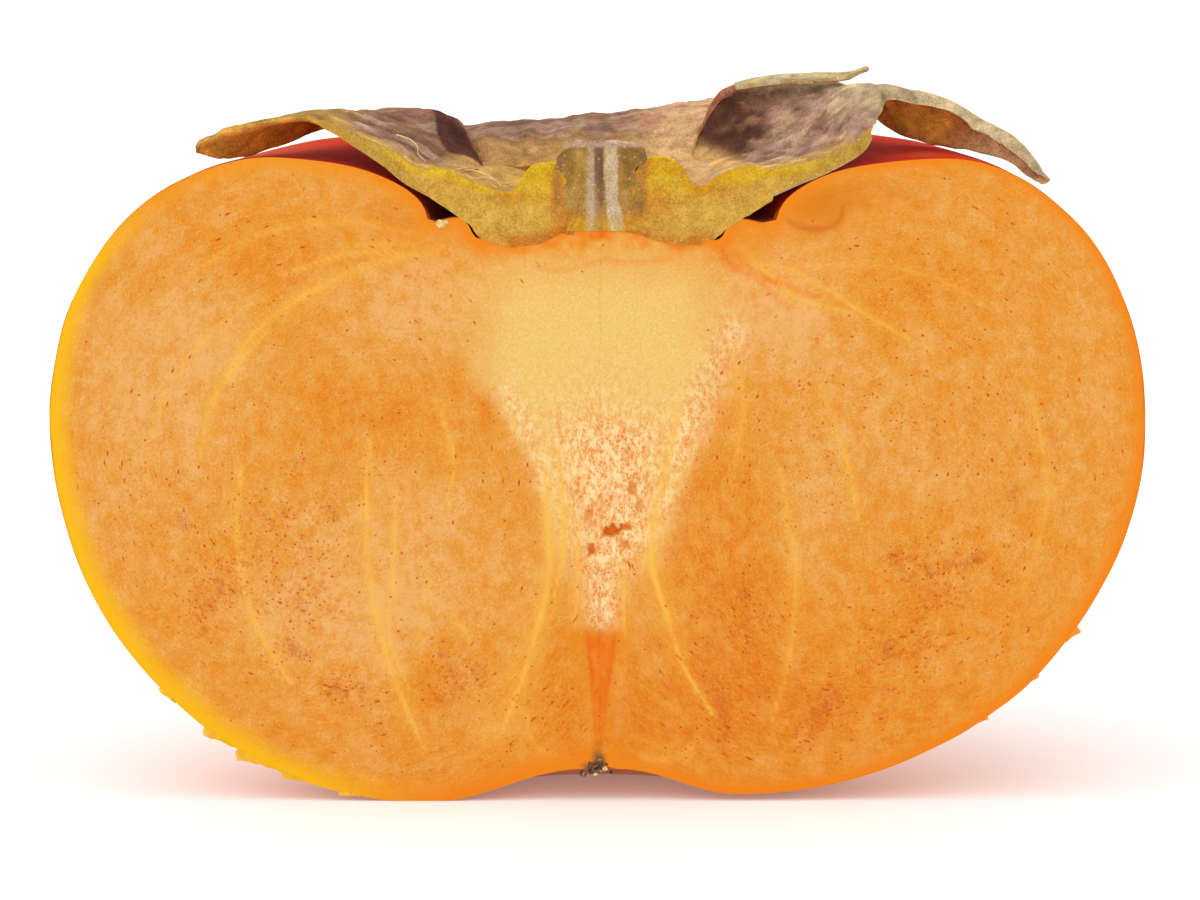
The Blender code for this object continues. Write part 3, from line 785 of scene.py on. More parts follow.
# %% [markdown]
# ## Skin
# The skin of a ripe persimmon is thin, tight and waxy: red-orange, redder on the shoulders, yellower
# towards the blossom end, with pale pores and a faint bloom. It is one half-turned surface that starts
# exactly at the rim of the cut face. Gloss comes from a coat whose strength follows the bloom.

# %% Finish of the skin
skin, on, surface = start_material("waxy_skin", 0.4, 0.06)
place = on.millimetres()
clouds = on.group(cloudy, Vector=place, Scale=0.16, Grain=0.3)
ripe = on.plus(on.painted("red"), on.times(on.maths("SUBTRACT", clouds, 0.5), 0.3))
belly, side = (0.76, 0.22, 0.008), (0.7, 0.12, 0.008)
shoulder, crown = (0.62, 0.05, 0.005), (0.56, 0.02, 0.003)
peel = on.ramp(ripe, (0.0, belly), (0.35, side), (0.7, shoulder), (1.0, crown))
pores = on.group(specks, Vector=place, Scale=0.85, Size=0.1, Amount=0.55)
peel = on.lay(peel, (0.82, 0.36, 0.06), pores, 0.4)
bloom = on.step(on.noise(place, 0.22, 4.0, 0.6), 0.45, 0.75)
peel = on.lay(peel, (0.75, 0.5, 0.42), bloom, 0.1)
scuffs = on.group(specks, Vector=place, Scale=0.42, Size=0.12, Amount=0.18)
peel = on.lay(peel, (0.12, 0.03, 0.012), scuffs, 0.55)
peel = on.lay(peel, (0.3, 0.14, 0.05), on.painted("corky"))
shine = on.painted("shine")
coat = on.times(shine, on.between(bloom, 0.6, 0.25))
on.fill(surface, {"Coat Weight": coat, "Coat Roughness": 0.22})
dull = on.plus(on.between(shine, 0.75, 0.4), on.times(bloom, 0.1))
peel_relief = on.plus(on.noise(place, 2.4, 3.0, 0.6), on.times(pores, -0.8))
on.finish(surface, peel, dull, peel_relief, 0.03 * MM)

# %% Make the skin
SKIN_TURNS = 140
skin_angles = np.linspace(0, pi, SKIN_TURNS + 1)
rings = []
for angle in skin_angles:
    reach, upper, lower = section_heights(angle, column_shares)
    radii = np.concatenate([reach * column_shares, reach * column_shares[-2::-1]])
    heights = np.concatenate([upper, lower[-2::-1]])
    depth = np.zeros_like(radii) if angle in (skin_angles[0], skin_angles[-1]) else radii * sin(angle)
    rings.append(np.stack([radii * cos(angle), depth, heights], axis=1))
rings = np.array(rings)
ring_count = rings.shape[1]
skin_index = np.arange(rings.shape[0] * ring_count).reshape(rings.shape[0], ring_count)
skin_index[:, 0] = skin_index[0, 0]
skin_index[:, -1] = skin_index[0, -1]
used, packed = np.unique(skin_index, return_inverse=True)
skin_index = packed.reshape(skin_index.shape)
skin_points = grown_uneven(rings.reshape(-1, 3)[used])
skin_loop = np.concatenate([skin_index[0], skin_index[-1][-2:0:-1]])
closed_points, ring_faces, fill = close_behind(skin_points, skin_loop, 0.5, 0.4)
skin_piece = make_piece(
    "skin",
    closed_points,
    grid_faces(skin_index) + [face[::-1] for face in ring_faces] + [fill[::-1]],
    [skin],
    ["fruit_half"],
)
skin_reach = np.hypot(closed_points[:, 0], closed_points[:, 1])
height_share = closed_points[:, 2] / 47.0
red = 0.14 + 0.7 * rise(height_share, 0.45, 0.98)
red += 0.12 * rise(closed_points[:, 0], -10, 34) * rise(height_share, 0.2, 0.8)
corky = rise(0.9 - skin_reach / 3.2, 0.0, 0.8) * (height_share < 0.2)
corky += 0.5 * rise(skin_reach, 13.5, 11.5) * (height_share > 0.7)
paint(skin_piece, "red", np.clip(red + 0.1 * layered_noise(closed_points, 0.08, 81), 0, 1))
paint(skin_piece, "corky", np.clip(corky, 0, 1))
paint(skin_piece, "shine", rise(-closed_points[:, 2], -43.0, -36.0))

# %% [markdown]
# ## Calyx: finishes
# The four-lobed calyx is leathery and half dried. Its upper side is a felt of short hairs, from yellow
# tan at the base to mauve and brown further out, lighter on the ridges of its wrinkles and darkened in
# their troughs as painted shade. Where the knife went through, the tissue is a grainy yellow crumb. Each
# point carries its own tint, mixed in numbers from a few dry-leaf colours, with painted shade laid in the
# folds, hollows and grooves of the lobes, and the two materials add grain, fibres and specks to it.

# %% Tints
YELLOW = (0.9, 0.55, 0.002)
CRUMB = (0.84, 0.47, 0.05)
OLIVE = (0.5, 0.3, 0.03)
TAN = (0.7, 0.4, 0.1)
PEACH = (0.82, 0.5, 0.24)
ORANGE = (0.74, 0.22, 0.006)
BROWN = (0.3, 0.135, 0.06)
PLUM = (0.28, 0.135, 0.08)
MAUVE = (0.5, 0.29, 0.2)
DARK = (0.085, 0.022, 0.014)
PINK = (0.55, 0.2, 0.11)
KHAKI = (0.66, 0.52, 0.27)
RUST = (0.82, 0.22, 0.02)
GOLD = (0.8, 0.4, 0.05)


def tinted(start, *layers):
    """A colour for each point: a start colour, with others laid over it by their masks."""
    made = np.ones((len(layers[0][1]), 3)) * start
    for shade, mask in layers:
        made += (np.array(shade) - made) * np.clip(mask, 0, 1)[:, None]
    return made


# %% Dry felt
felt, on, surface = start_material("dry_felt", 0.8, 0.2)
place = on.millimetres()
tint = on.painted("tint", "Color")
blotches = on.group(cloudy, Vector=place, Scale=0.9, Grain=0.5)
shaded = on.mix(0.85, tint, on.mix(blotches, (0.5, 0.45, 0.42), (1.4, 1.42, 1.45)), "MULTIPLY")
ridges = on.painted("ridge")
hairs = on.group(fibres, Vector=place, Scale=2.3, Sharpness=0.9)
# Painted shade: low ridge values darken the colour. On the disc and the lobes these are the wrinkle troughs;
# on the stalk they follow a random mottle. High ridge values lighten the colour.
for share, mask, strength, gain in [
    (0.5, on.step(ridges, 0.5, 0.0), 1.0, (0.45, 0.4, 0.38)),
    (0.5, on.step(ridges, 0.55, 1.0), 0.85, (1.9, 1.95, 2.0)),
    (0.55, hairs, 1.0, (1.7, 1.7, 1.65)),
]:
    shaded = on.lay(shaded, on.mix(strength, shaded, gain, "MULTIPLY"), mask, share)
pits = on.group(specks, Vector=place, Scale=2.2, Size=0.2, Amount=0.25)
shaded = on.lay(shaded, (0.12, 0.05, 0.02), pits, 0.35)
felt_grain = on.noise(place, 5.0, 4.0, 0.75)
felt_relief = on.plus(felt_grain, on.times(hairs, 0.5))
on.finish(surface, shaded, on.between(felt_grain, 0.7, 0.95), felt_relief, 0.12 * MM)

# %% Grainy cut calyx
crumb, on, surface = start_material("grainy_cut", 0.5, 0.3)
place = on.millimetres()
tint = on.painted("tint", "Color")
grains = on.group(cloudy, Vector=place, Scale=1.1, Grain=0.68)
cut_shade = on.mix(0.9, tint, on.mix(grains, (0.76, 0.6, 0.24), (1.42, 1.54, 2.3)), "MULTIPLY")
glints = on.group(specks, Vector=place, Scale=2.8, Size=0.34, Amount=0.45)
cut_shade = on.lay(cut_shade, (0.88, 0.66, 0.22), glints, 0.5)
dim = on.group(specks, Vector=place, Scale=2.7, Size=0.3, Amount=0.25)
cut_shade = on.lay(cut_shade, (0.42, 0.2, 0.02), dim, 0.14)
on.finish(surface, cut_shade, on.between(grains, 0.38, 0.62), on.noise(place, 3.2, 4.0, 0.75), 0.6 * MM)

# %% [markdown]
# ## Calyx: the disc
# The calyx sits in the stem pit as a thick disc: a raised ring hugs the stalk, a felted trough follows,
# and the rim lifts into the lobes. The knife shows its section. The piece is that section turned half
# round, blended from the right-hand outline to the left-hand one, with a fine grid on both cut faces.

# %% Half-turned solids
def edge_loop(table):
    """The border of a grid of anything, once round."""
    return np.concatenate([table[:, -1], table[-1, -2::-1], table[-2::-1, 0], table[0, 1:-1]])


def half_turned(section, turns):
    """Points and faces of a section turned half round, with its two cut faces, welded where they meet."""
    angles = np.linspace(0, pi, turns + 1)
    ends = [np.asarray(section(angle)) for angle in (0.0, pi)]
    size = ends[0].shape[:2]
    count = size[0] * size[1]
    tables = [np.arange(count).reshape(size), count + np.arange(count).reshape(size)]
    points = [ends[0].reshape(-1, 3), ends[1].reshape(-1, 3)]
    loops = [edge_loop(tables[0])]
    total = 2 * count
    for angle in angles[1:-1]:
        border = edge_loop(np.asarray(section(angle)))
        loops.append(total + np.arange(len(border)))
        points.append(border)
        total += len(border)
    loops.append(edge_loop(tables[1]))
    points = np.vstack(points)
    whole, first, back = np.unique(np.round(points, 4), axis=0, return_index=True, return_inverse=True)
    back = back.ravel()
    faces = grid_faces(back[np.array(loops)], closed=True)
    faces += grid_faces(back[tables[0]]) + [face[::-1] for face in grid_faces(back[tables[1]])]
    faces = [face for face in faces if len(face) > 2]
    return points[first], faces


# %% Section of the disc
DISC_TOP_RIGHT = [
    (1.8, 43.4), (2.5, 45.1), (3.0, 45.8), (4.1, 46.1), (5.2, 45.9), (6.0, 45.3), (6.4, 44.4), (7.0, 44.1),
    (8.2, 44.8), (9.5, 45.4), (10.8, 45.6), (12.2, 45.2),
]
DISC_TOP_LEFT = [
    (1.8, 43.4), (2.4, 44.6), (3.1, 45.4), (4.1, 45.7), (5.0, 45.4), (5.5, 44.7), (5.9, 44.0), (6.6, 43.7),
    (7.9, 44.1), (9.2, 44.5), (10.6, 45.2), (12.0, 45.5),
]
DISC_BED_RIGHT = [
    (1.8, 41.1), (4.3, 40.2), (6.3, 40.0), (8.1, 40.5), (9.4, 41.4), (11.0, 42.4), (12.2, 43.2)
]
DISC_BED_LEFT = [(1.8, 40.9), (3.3, 40.5), (5.5, 39.9), (8.3, 40.4), (9.3, 41.5), (10.6, 42.4), (12.0, 43.3)]
DISC_COLUMNS = 110
DISC_ROWS = 44
CUT_LIFT = -0.03


def along_reach(points, reach):
    """Heights of a smooth outline at equal steps of reach."""
    line = smooth_curve(points, 160)
    return np.interp(reach, line[:, 0], line[:, 1])


def disc_section(angle):
    share = (1 + cos(angle)) / 2
    outer = 12.2 * share + 12.0 * (1 - share)
    reach = np.linspace(1.8, outer, DISC_COLUMNS + 1)
    high = share * along_reach(DISC_TOP_RIGHT, reach) + (1 - share) * along_reach(DISC_TOP_LEFT, reach)
    low = share * along_reach(DISC_BED_RIGHT, reach) + (1 - share) * along_reach(DISC_BED_LEFT, reach)
    if 0 < angle < pi:
        high = high - 0.22 * sin(angle) * rise(reach, 8.0, 12.0)
        high = high + 0.14 * sin(9 * angle) * rise(reach, 6.0, 9.0)
        high = high + 0.12 * sin(13 * angle + 1.0) * rise(reach, 2.4, 4.0) * rise(-reach, -6.4, -5.0)
    rows = np.linspace(0, 1, DISC_ROWS + 1)
    height = low[:, None] + (high - low)[:, None] * rows
    wide = np.repeat(reach[:, None], DISC_ROWS + 1, axis=1)
    return np.stack([wide * cos(angle), wide * sin(angle) + CUT_LIFT, height], axis=-1)


# %% Make the disc
disc_points, disc_faces = half_turned(disc_section, 110)
cut_points = disc_points[:, 1] < CUT_LIFT + 0.001
soft = 0.13 * layered_noise(disc_points, 0.9, 101) + 0.06 * layered_noise(disc_points, 3.0, 111)
upper_side = disc_points[:, 2] > 43.0
disc_points[:, 2] += np.where(upper_side, soft, 0.3 * soft) * rise(disc_points[:, 2], 42.0, 44.0)
bed_side = rise(-disc_points[:, 2], -43.0, -41.0) * cut_points
disc_points[:, 2] += 0.3 * layered_noise(disc_points, 1.1, 115, 4) * bed_side
disc_points[:, 1] += np.where(cut_points, 0.05 * layered_noise(disc_points, 2.4, 121), 0.0)


def cut_calyx_tint(points):
    """The cut tissue: bright yellow along the top, orange at the stalk and the bed, crumb between."""
    x, z = points[:, 0], points[:, 2]
    side = np.abs(x)
    mottled = layered_noise(points, 0.7, 131)
    right = x > 0
    right_top = [45.4, 46.1, 45.8, 44.2, 44.8, 45.5, 46.0, 46.9, 48.6]
    left_top = [44.4, 45.7, 45.2, 43.8, 44.1, 45.2, 45.7, 47.5, 49.4]
    top = np.where(
        right,
        np.interp(side, [2, 4, 5.6, 6.6, 8.2, 11, 14, 17, 19], right_top),
        np.interp(side, [2, 4, 5.2, 6.2, 8, 10.6, 13.3, 16, 20], left_top),
    )
    below = top - z + 0.25 * mottled
    band = np.where(right, rise(-below, -1.3, -0.6), rise(-below, -0.8, -0.3)) * rise(-side, -17.5, -13.5)
    ring = patch(4.3, 44.6, 1.9, 1.6, side, z)
    stalk_side = rise(-side, -3.9, -2.9)
    floor_glow = rise(-(z - np.interp(side, [2, 5.5, 8.4, 12], [41.0, 40.1, 40.7, 43.3])), -0.9, -0.1)
    return tinted(
        CRUMB,
        (OLIVE, 0.5 * rise(side, 12.0, 15.0)),
        (OLIVE, 0.2 * rise(mottled, 0.1, 0.6)),
        (YELLOW, 0.9 * band + 0.85 * ring),
        (ORANGE, 0.5 * stalk_side + 0.85 * floor_glow * rise(-side, -9.5, -6.5) * rise(mottled, -0.9, 0.1)
            + 0.35 * right * band * rise(-side, -11.0, -8.0)),
        (ORANGE, 0.5 * patch(-6.3, 43.4, 1.4, 0.5, x, z) + 0.55 * patch(-2.9, 43.2, 0.7, 1.6, x, z)),
        (ORANGE, 0.6 * patch(4.2, 42.9, 1.0, 1.3, x, z) + 0.5 * patch(8.0, 43.9, 1.8, 0.45, x, z)),
        (ORANGE, 0.5 * patch(-10.0, 44.3, 2.2, 0.4, x, z) * rise(mottled, -0.4, 0.2)),
        (BROWN, 0.4 * rise(-np.abs(side - 3.0), -0.45, -0.1) * rise(z, 41.8, 43.5)),
    )


disc_reach = np.hypot(disc_points[:, 0], disc_points[:, 1])
disc_top_tint = tinted(
    TAN,
    (YELLOW, 0.8 * rise(-disc_reach, -6.6, -5.4)),
    (PEACH, 0.7 * rise(disc_points[:, 0], 0.0, 5.0) * rise(disc_reach, 6.0, 7.5)),
    (PINK, 0.25 * rise(layered_noise(disc_points, 0.5, 141), 0.0, 0.5) * rise(disc_reach, 6.0, 7.5)),
    (OLIVE, 0.25 * rise(layered_noise(disc_points, 0.6, 142), 0.0, 0.5)),
    (BROWN, 0.3 * rise(disc_reach, 9.0, 12.0) * rise(-disc_points[:, 0], 2.0, 7.0)),
)
disc_tint = np.where(cut_points[:, None], cut_calyx_tint(disc_points), disc_top_tint)
face_is_cut = [all(cut_points[vertex] for vertex in face) for face in disc_faces]
disc_piece = make_piece(
    "calyx_disc",
    disc_points,
    disc_faces,
    [felt, crumb],
    ["calyx_disc"],
    [1 if is_cut else 0 for is_cut in face_is_cut],
)
paint(disc_piece, "tint", disc_tint)
paint(disc_piece, "ridge", np.clip(0.5 + 2.2 * soft, 0, 1))

# %% [markdown]
# ## Calyx: the lobes
# Each lobe is a dried leaf: a thick sheet that leaves the disc, arches over the shoulder and curls. It is
# laid between two rails. The near rail is the edge towards the viewer, which the knife cut flat on the
# outer two lobes, and the far rail is the edge behind. A third offset folds the far edge over. The sheet
# gets hollow, wrinkled along its length and thinner towards its edges, as leaves do when they dry.

# %% Sheets between two rails
WALL_ROWS = 7


def leaf(knots, along, across, hollow, wrinkle, seed, cut_until=0.0, fold_from=0.86, arch=(0, 0)):
    """A closed sheet. Each knot gives near point, far point, thickness and the fold's offset."""
    rails = smooth_curve(knots, along + 1)
    near, far, thick, fold = rails[:, 0:3], rails[:, 3:6], rails[:, 6], rails[:, 7:10]
    u = np.linspace(0, 1, along + 1)[:, None]
    v = np.linspace(0, 1, across + 1)[None, :]
    flat = np.clip(v / fold_from, 0, 1)[..., None]
    over = np.clip((v - fold_from) / (1 - fold_from), 0, 1)[..., None]
    middle = near[:, None] + (far - near)[:, None] * flat + fold[:, None] * over
    normal = np.cross(np.gradient(middle, axis=0), np.gradient(middle, axis=1))
    normal /= np.linalg.norm(normal, axis=-1, keepdims=True) + 1e-9
    flip = normal[..., 2].mean() < 0
    normal = -normal if flip else normal
    length = np.linalg.norm(np.diff(middle[:, across // 2], axis=0), axis=1).sum()
    width = np.linalg.norm(far - near, axis=1)[:, None]
    sheet_place = np.stack([u * length + 0 * v, v * width, 0 * u * v + seed], axis=-1)
    folds = layered_noise(sheet_place * np.array([0.28, 1.0, 1.0]), 1.0, seed, 3)
    puckers = layered_noise(sheet_place, 0.9, seed + 5, 3)
    wrinkles = wrinkle * (0.75 * folds + 0.45 * puckers)
    cutness = 1 - rise(u, cut_until - 0.02, cut_until + 0.02) if cut_until else 0 * u
    in_plane = normal * np.array([1.0, 0.0, 1.0])
    in_plane /= np.linalg.norm(in_plane, axis=-1, keepdims=True) + 1e-9
    upright = (cutness * rise(-v, -0.2, 0.0))[..., None]
    normal = normal * (1 - upright) + in_plane * upright
    calm = 1 - cutness * rise(-v, -0.08, 0.0)
    hollow_share = np.interp(u[:, 0], np.linspace(0, 1, len(hollow)), hollow)[:, None]
    arch_share = np.interp(u[:, 0], np.linspace(0, 1, len(arch)), arch)[:, None]
    across_share = np.clip(v / fold_from, 0, 1)
    hollow_depth = hollow_share * np.sin(pi * across_share**1.3)
    hollow_depth = hollow_depth - arch_share * np.sin(pi * across_share**0.5)
    middle = middle + normal * (wrinkles * calm - hollow_depth)[..., None]
    ragged = 0.3 * layered_noise(sheet_place, 0.8, seed + 9, 2)
    edge_share = rise(v, 0.9, 1.0) - (1 - cutness) * rise(-v, -0.1, 0.0)
    outward = (far - near)[:, None] / width[..., None]
    middle = middle + outward * (ragged * edge_share)[..., None]
    thin = 0.3 + 0.7 * np.sqrt(np.clip((1 - v) / 0.07, 0, 1))
    thin = thin * np.maximum(cutness, 0.3 + 0.7 * np.sqrt(np.clip(v / 0.07, 0, 1)))
    half_thick = (thick[:, None] * thin / 2)[..., None]
    top = middle + normal * half_thick
    bottom = middle - normal * half_thick
    wall_share = np.linspace(0, 1, WALL_ROWS + 2)[1:-1][None, :, None]
    wall = bottom[:, :1] * (1 - wall_share) + top[:, :1] * wall_share
    loop = np.concatenate([top, bottom[:, ::-1], wall], axis=1)
    side = np.concatenate([np.ones(across + 1), -np.ones(across + 1), np.zeros(WALL_ROWS)])
    share_v = np.concatenate([v[0], v[0, ::-1], np.zeros(WALL_ROWS)])
    index = np.arange(loop.shape[0] * loop.shape[1]).reshape(loop.shape[:2])
    faces = grid_faces(index, closed=True) + [index[0].tolist(), index[-1, ::-1].tolist()]
    columns = np.tile(np.arange(loop.shape[1]), along)
    rows = np.repeat(np.arange(along), loop.shape[1])
    is_cut = (columns >= 2 * across + 1) & (u[rows, 0] < cut_until)
    slots = np.concatenate([is_cut.astype(int), [0, 0]])
    faces = [face[::-1] for face in faces] if flip else faces
    full = np.concatenate([wrinkles, wrinkles[:, ::-1], 0 * wrinkles[:, :WALL_ROWS]], axis=1) / wrinkle
    data = {
        "u": np.repeat(u, loop.shape[1], axis=1).ravel(),
        "v": np.tile(share_v, loop.shape[0]),
        "side": np.tile(side, loop.shape[0]),
        "ridge": np.clip(0.5 + 0.9 * full, 0, 1).ravel(),
    }
    return loop.reshape(-1, 3), faces, slots, data


def leaf_piece(name, made, tint, nodes):
    points, faces, slots, data = made
    cut = (data["side"] == 0) & (points[:, 1] < 0.3)
    points = points.copy()
    points[:, 1] += np.where(cut, 0.05 * layered_noise(points, 2.4, 121), 0.0)
    piece = make_piece(name, points, faces, [felt, crumb], nodes, slots)
    paint(piece, "tint", np.where(cut[:, None], cut_calyx_tint(points), tint))
    paint(piece, "ridge", data["ridge"])
    return piece


# %% Left lobe
LEFT_LOBE = [
    (-11.0, 0.0, 44.05, -9.2, 7.4, 44.4, 2.2, 0.1, 0.2, -0.1),
    (-13.3, 0.0, 44.9, -10.2, 9.0, 46.4, 1.5, 0.7, 0.9, 0.0),
    (-14.9, 0.0, 46.1, -11.7, 10.4, 48.1, 1.35, 1.3, 1.5, -0.4),
    (-16.9, 0.0, 47.2, -13.0, 11.2, 48.6, 0.95, 1.5, 1.4, -0.8),
    (-18.7, 0.0, 48.2, -15.6, 10.8, 48.8, 0.7, 1.2, 0.6, -0.8),
    (-20.9, 0.0, 49.0, -18.6, 8.8, 48.6, 0.55, 0.1, 0.3, -0.4),
    (-23.4, -0.1, 48.75, -21.6, 5.6, 47.6, 0.5, 0.1, 0.3, -0.2),
    (-26.2, 0.1, 48.1, -25.2, 2.9, 46.4, 0.5, 0.1, 0.2, -0.2),
    (-28.0, 0.6, 47.5, -27.7, 1.9, 46.3, 0.45, 0.1, 0.1, -0.1),
    (-28.6, 1.0, 46.95, -28.6, 1.3, 46.7, 0.35, 0.0, 0.0, 0.0),
]
LEFT_CURL = [0, 0.5, 0.7, 0.5, 0.2, -0.3, -0.5, -0.4, -0.2, 0]
made = leaf(LEFT_LOBE, 170, 84, LEFT_CURL, 0.26, 201, cut_until=0.5, fold_from=0.8)
points, _, _, data = made
u, v = data["u"], data["v"]
mottled = layered_noise(points, 0.7, 211)
streaky = layered_noise(points * np.array([0.35, 1.0, 1.0]), 1.2, 221)
fold_shade_edge = v + 0.02 * mottled + 0.24 * np.exp(-(((u - 0.13) / 0.1) ** 2))
upper_tint = tinted(
    PLUM,
    (MAUVE, rise(mottled + 0.6 * streaky, -0.1, 0.4)),
    (KHAKI, 0.35 * rise(streaky, 0.25, 0.7)),
    (BROWN, 0.7 * rise(-streaky, 0.0, 0.5)),
    (DARK, 0.3 * rise(-mottled, 0.2, 0.6)),
    (TAN, 0.8 * rise(-v - 0.1 * mottled, -0.2, -0.04) + 0.7 * rise(-u, -0.14, -0.04)),
    (OLIVE, 0.6 * rise(u, 0.4, 0.55)),
    # Painted shade: the panel folded back beyond the fold line is darkened.
    (DARK, 0.97 * rise(fold_shade_edge, 0.79, 0.83) * rise(-u, -0.42, -0.32)),
    (PINK, 0.6 * rise(v, 0.86, 0.94) * rise(-u, -0.42, -0.32)),
)
lower_tint = tinted(
    RUST,
    (GOLD, 0.8 * rise(u, 0.6, 0.9)),
    (OLIVE, 0.4 * rise(mottled, 0.0, 0.5) * rise(u, 0.5, 0.7)),
    (TAN, 0.6 * rise(-v, -0.12, 0.0)),
    (TAN, 0.4 * rise(u, 0.93, 0.99)),
)
leaf_piece("lobe_left", made, np.where((data["side"] < 0)[:, None], lower_tint, upper_tint), ["sepal_left"])

# %% Right lobe
RIGHT_LOBE = [
    (11.0, 0.0, 44.1, 7.4, 8.6, 44.5, 2.3, -0.1, 0.2, 0.0),
    (13.6, 0.0, 44.9, 7.6, 10.2, 46.9, 1.6, -0.2, 0.3, 0.3),
    (16.0, 0.0, 45.7, 8.4, 11.0, 49.0, 1.2, -0.2, 0.2, 0.8),
    (18.2, 0.0, 46.9, 9.5, 11.3, 50.2, 1.0, 0.1, -0.2, 0.6),
    (19.0, 0.2, 48.1, 11.5, 11.6, 50.4, 0.8, 0.2, -0.3, 0.3),
    (19.7, 1.4, 49.2, 14.5, 11.2, 50.6, 0.6, 0.2, -0.3, 0.2),
    (20.6, 3.8, 50.2, 17.6, 10.4, 50.7, 0.5, 0.1, 0.3, -0.1),
    (22.9, 4.6, 49.8, 20.8, 8.6, 48.2, 0.45, 0.1, 0.3, -0.2),
    (25.5, 4.6, 48.9, 23.8, 7.6, 47.1, 0.4, 0.3, 0.2, -0.3),
    (27.3, 4.4, 47.7, 26.2, 6.4, 46.6, 0.4, 0.1, 0.1, -0.1),
    (29.3, 4.0, 46.7, 28.7, 5.4, 46.0, 0.4, 0.0, 0.1, -0.1),
    (30.9, 3.5, 45.2, 30.6, 4.3, 44.8, 0.4, 0.0, 0.0, 0.0),
    (32.0, 3.1, 44.3, 31.7, 3.4, 44.1, 0.35, 0.0, 0.0, 0.0),
]
RIGHT_CURL = [0, 1.0, 1.7, 1.8, 1.3, 0.7, 0.1, 0, 0, 0, 0, 0, 0]
RIGHT_ARCH = [0, 0, 0, 0, 0, 0.2, 0.6, 1.1, 1.3, 1.2, 1.0, 0.6, 0]
made = leaf(RIGHT_LOBE, 190, 90, RIGHT_CURL, 0.26, 301, cut_until=0.33, arch=RIGHT_ARCH)
points, _, _, data = made
u, v = data["u"], data["v"]
mottled = layered_noise(points, 0.7, 311)
streaky = layered_noise(points * np.array([0.5, 1.0, 0.5]), 1.3, 321)
# Painted shade: the hollow inside of the lobe, towards its far edge, is darkened with brown and near-black.
inner_shade = rise(v - 0.7 * (u - 0.1) + 0.05 * mottled, 0.42, 0.58) * rise(u, 0.04, 0.09)
inner_shade = inner_shade * rise(-u - 0.03 * mottled, -0.32, -0.22)
upper_tint = tinted(
    MAUVE,
    (PLUM, 0.9 * rise(mottled + 0.4 * streaky, -0.05, 0.3)),
    (PINK, 0.5 * rise(-mottled + 0.6 * streaky, 0.2, 0.5) * rise(-u, -0.4, -0.3)),
    (KHAKI, 0.75 * rise(u + 0.1 * mottled, 0.36, 0.5)),
    (KHAKI, 0.6 * rise(streaky - 0.4 * mottled, 0.1, 0.5)),
    (BROWN, 0.8 * inner_shade),
    (DARK, 0.85 * inner_shade * rise(streaky + 0.8 * mottled, -0.6, 0.1)),
    (PINK, 0.8 * rise(v, 0.84, 0.9) * rise(-u, -0.28, -0.2)),
    (TAN, 0.85 * rise(-v - 0.1 * mottled, -0.2, -0.05) * rise(-u, -0.3, -0.2) + 0.8 * rise(-u, -0.1, -0.03)),
)
lower_tint = tinted(
    (0.62, 0.25, 0.06),
    (GOLD, 0.8 * rise(mottled, -0.3, 0.3)),
    (KHAKI, 0.75 * rise(u, 0.68, 0.82)),
    (KHAKI, 0.6 * rise(-v, -0.1, 0.0)),
)
right_tint = np.where((data["side"] < 0)[:, None], lower_tint, upper_tint)
leaf_piece("lobe_right", made, right_tint, ["sepal_right"])

# %% Torn strip on the right lobe
TORN_STRIP = [
    (9.9, 9.6, 50.7, 9.8, 11.0, 50.9, 0.4, 0.0, 0.2, -0.1),
    (12.4, 9.2, 51.05, 12.5, 10.8, 51.4, 0.45, 0.0, 0.2, -0.1),
    (15.2, 9.0, 51.2, 15.3, 10.4, 51.6, 0.4, 0.0, 0.2, -0.1),
    (17.6, 9.0, 51.4, 17.7, 9.7, 51.7, 0.35, 0.0, 0.1, -0.1),
    (19.4, 9.2, 52.0, 19.5, 9.4, 52.15, 0.3, 0.0, 0.0, 0.0),
]
made = leaf(TORN_STRIP, 90, 16, [0, 0.1, 0.1, 0], 0.12, 401)
points, _, _, data = made
mottled = layered_noise(points, 0.9, 411)
strip_tint = tinted(KHAKI, (TAN, 0.5 * rise(mottled, 0.0, 0.5)), (OLIVE, 0.6 * (data["side"] < 0)))
leaf_piece("lobe_strip", made, strip_tint, ["sepal_right"])

# %% Back lobe
BACK_LOBE = [
    (-8.1, 8.3, 44.3, 6.9, 8.8, 44.5, 2.2, 0.3, 0.0, -0.1),
    (-9.5, 10.4, 46.2, 7.8, 10.8, 46.6, 1.4, 0.4, 0.0, -0.1),
    (-10.0, 13.6, 46.9, 8.3, 13.6, 48.4, 1.0, 0.4, 0.0, -0.1),
    (-10.8, 17.4, 47.2, 8.8, 17.2, 49.2, 0.8, 0.4, 0.0, -0.1),
    (-10.2, 21.4, 47.2, 8.7, 21.2, 49.1, 0.6, 0.3, 0.0, -0.1),
    (-7.6, 25.2, 47.2, 6.7, 25.0, 48.0, 0.5, 0.2, 0.0, -0.1),
    (-3.6, 28.2, 46.6, 3.8, 28.0, 46.9, 0.5, 0.1, 0.0, 0.0),
    (-0.4, 29.4, 46.2, 0.8, 29.4, 46.3, 0.4, 0.0, 0.0, 0.0),
]
made = leaf(BACK_LOBE, 120, 190, [0, 0.3, 0.4, 0.3, 0.1, -0.1, -0.1, 0], 0.3, 501)
points, faces, slots, data = made
u, v = data["u"], data["v"]
rib_place = np.stack([v * 17.0 + 0.8 * np.sin(4 * u + 5 * v), u * 3.0, 0 * u], axis=1)
ribs = 1.6 * layered_noise(rib_place, 0.62, 505, 3) * rise(u, 0.03, 0.3) * rise(-u, -0.95, -0.7)
points[:, 2] += 0.24 * ribs
mottled = layered_noise(points, 0.6, 511)
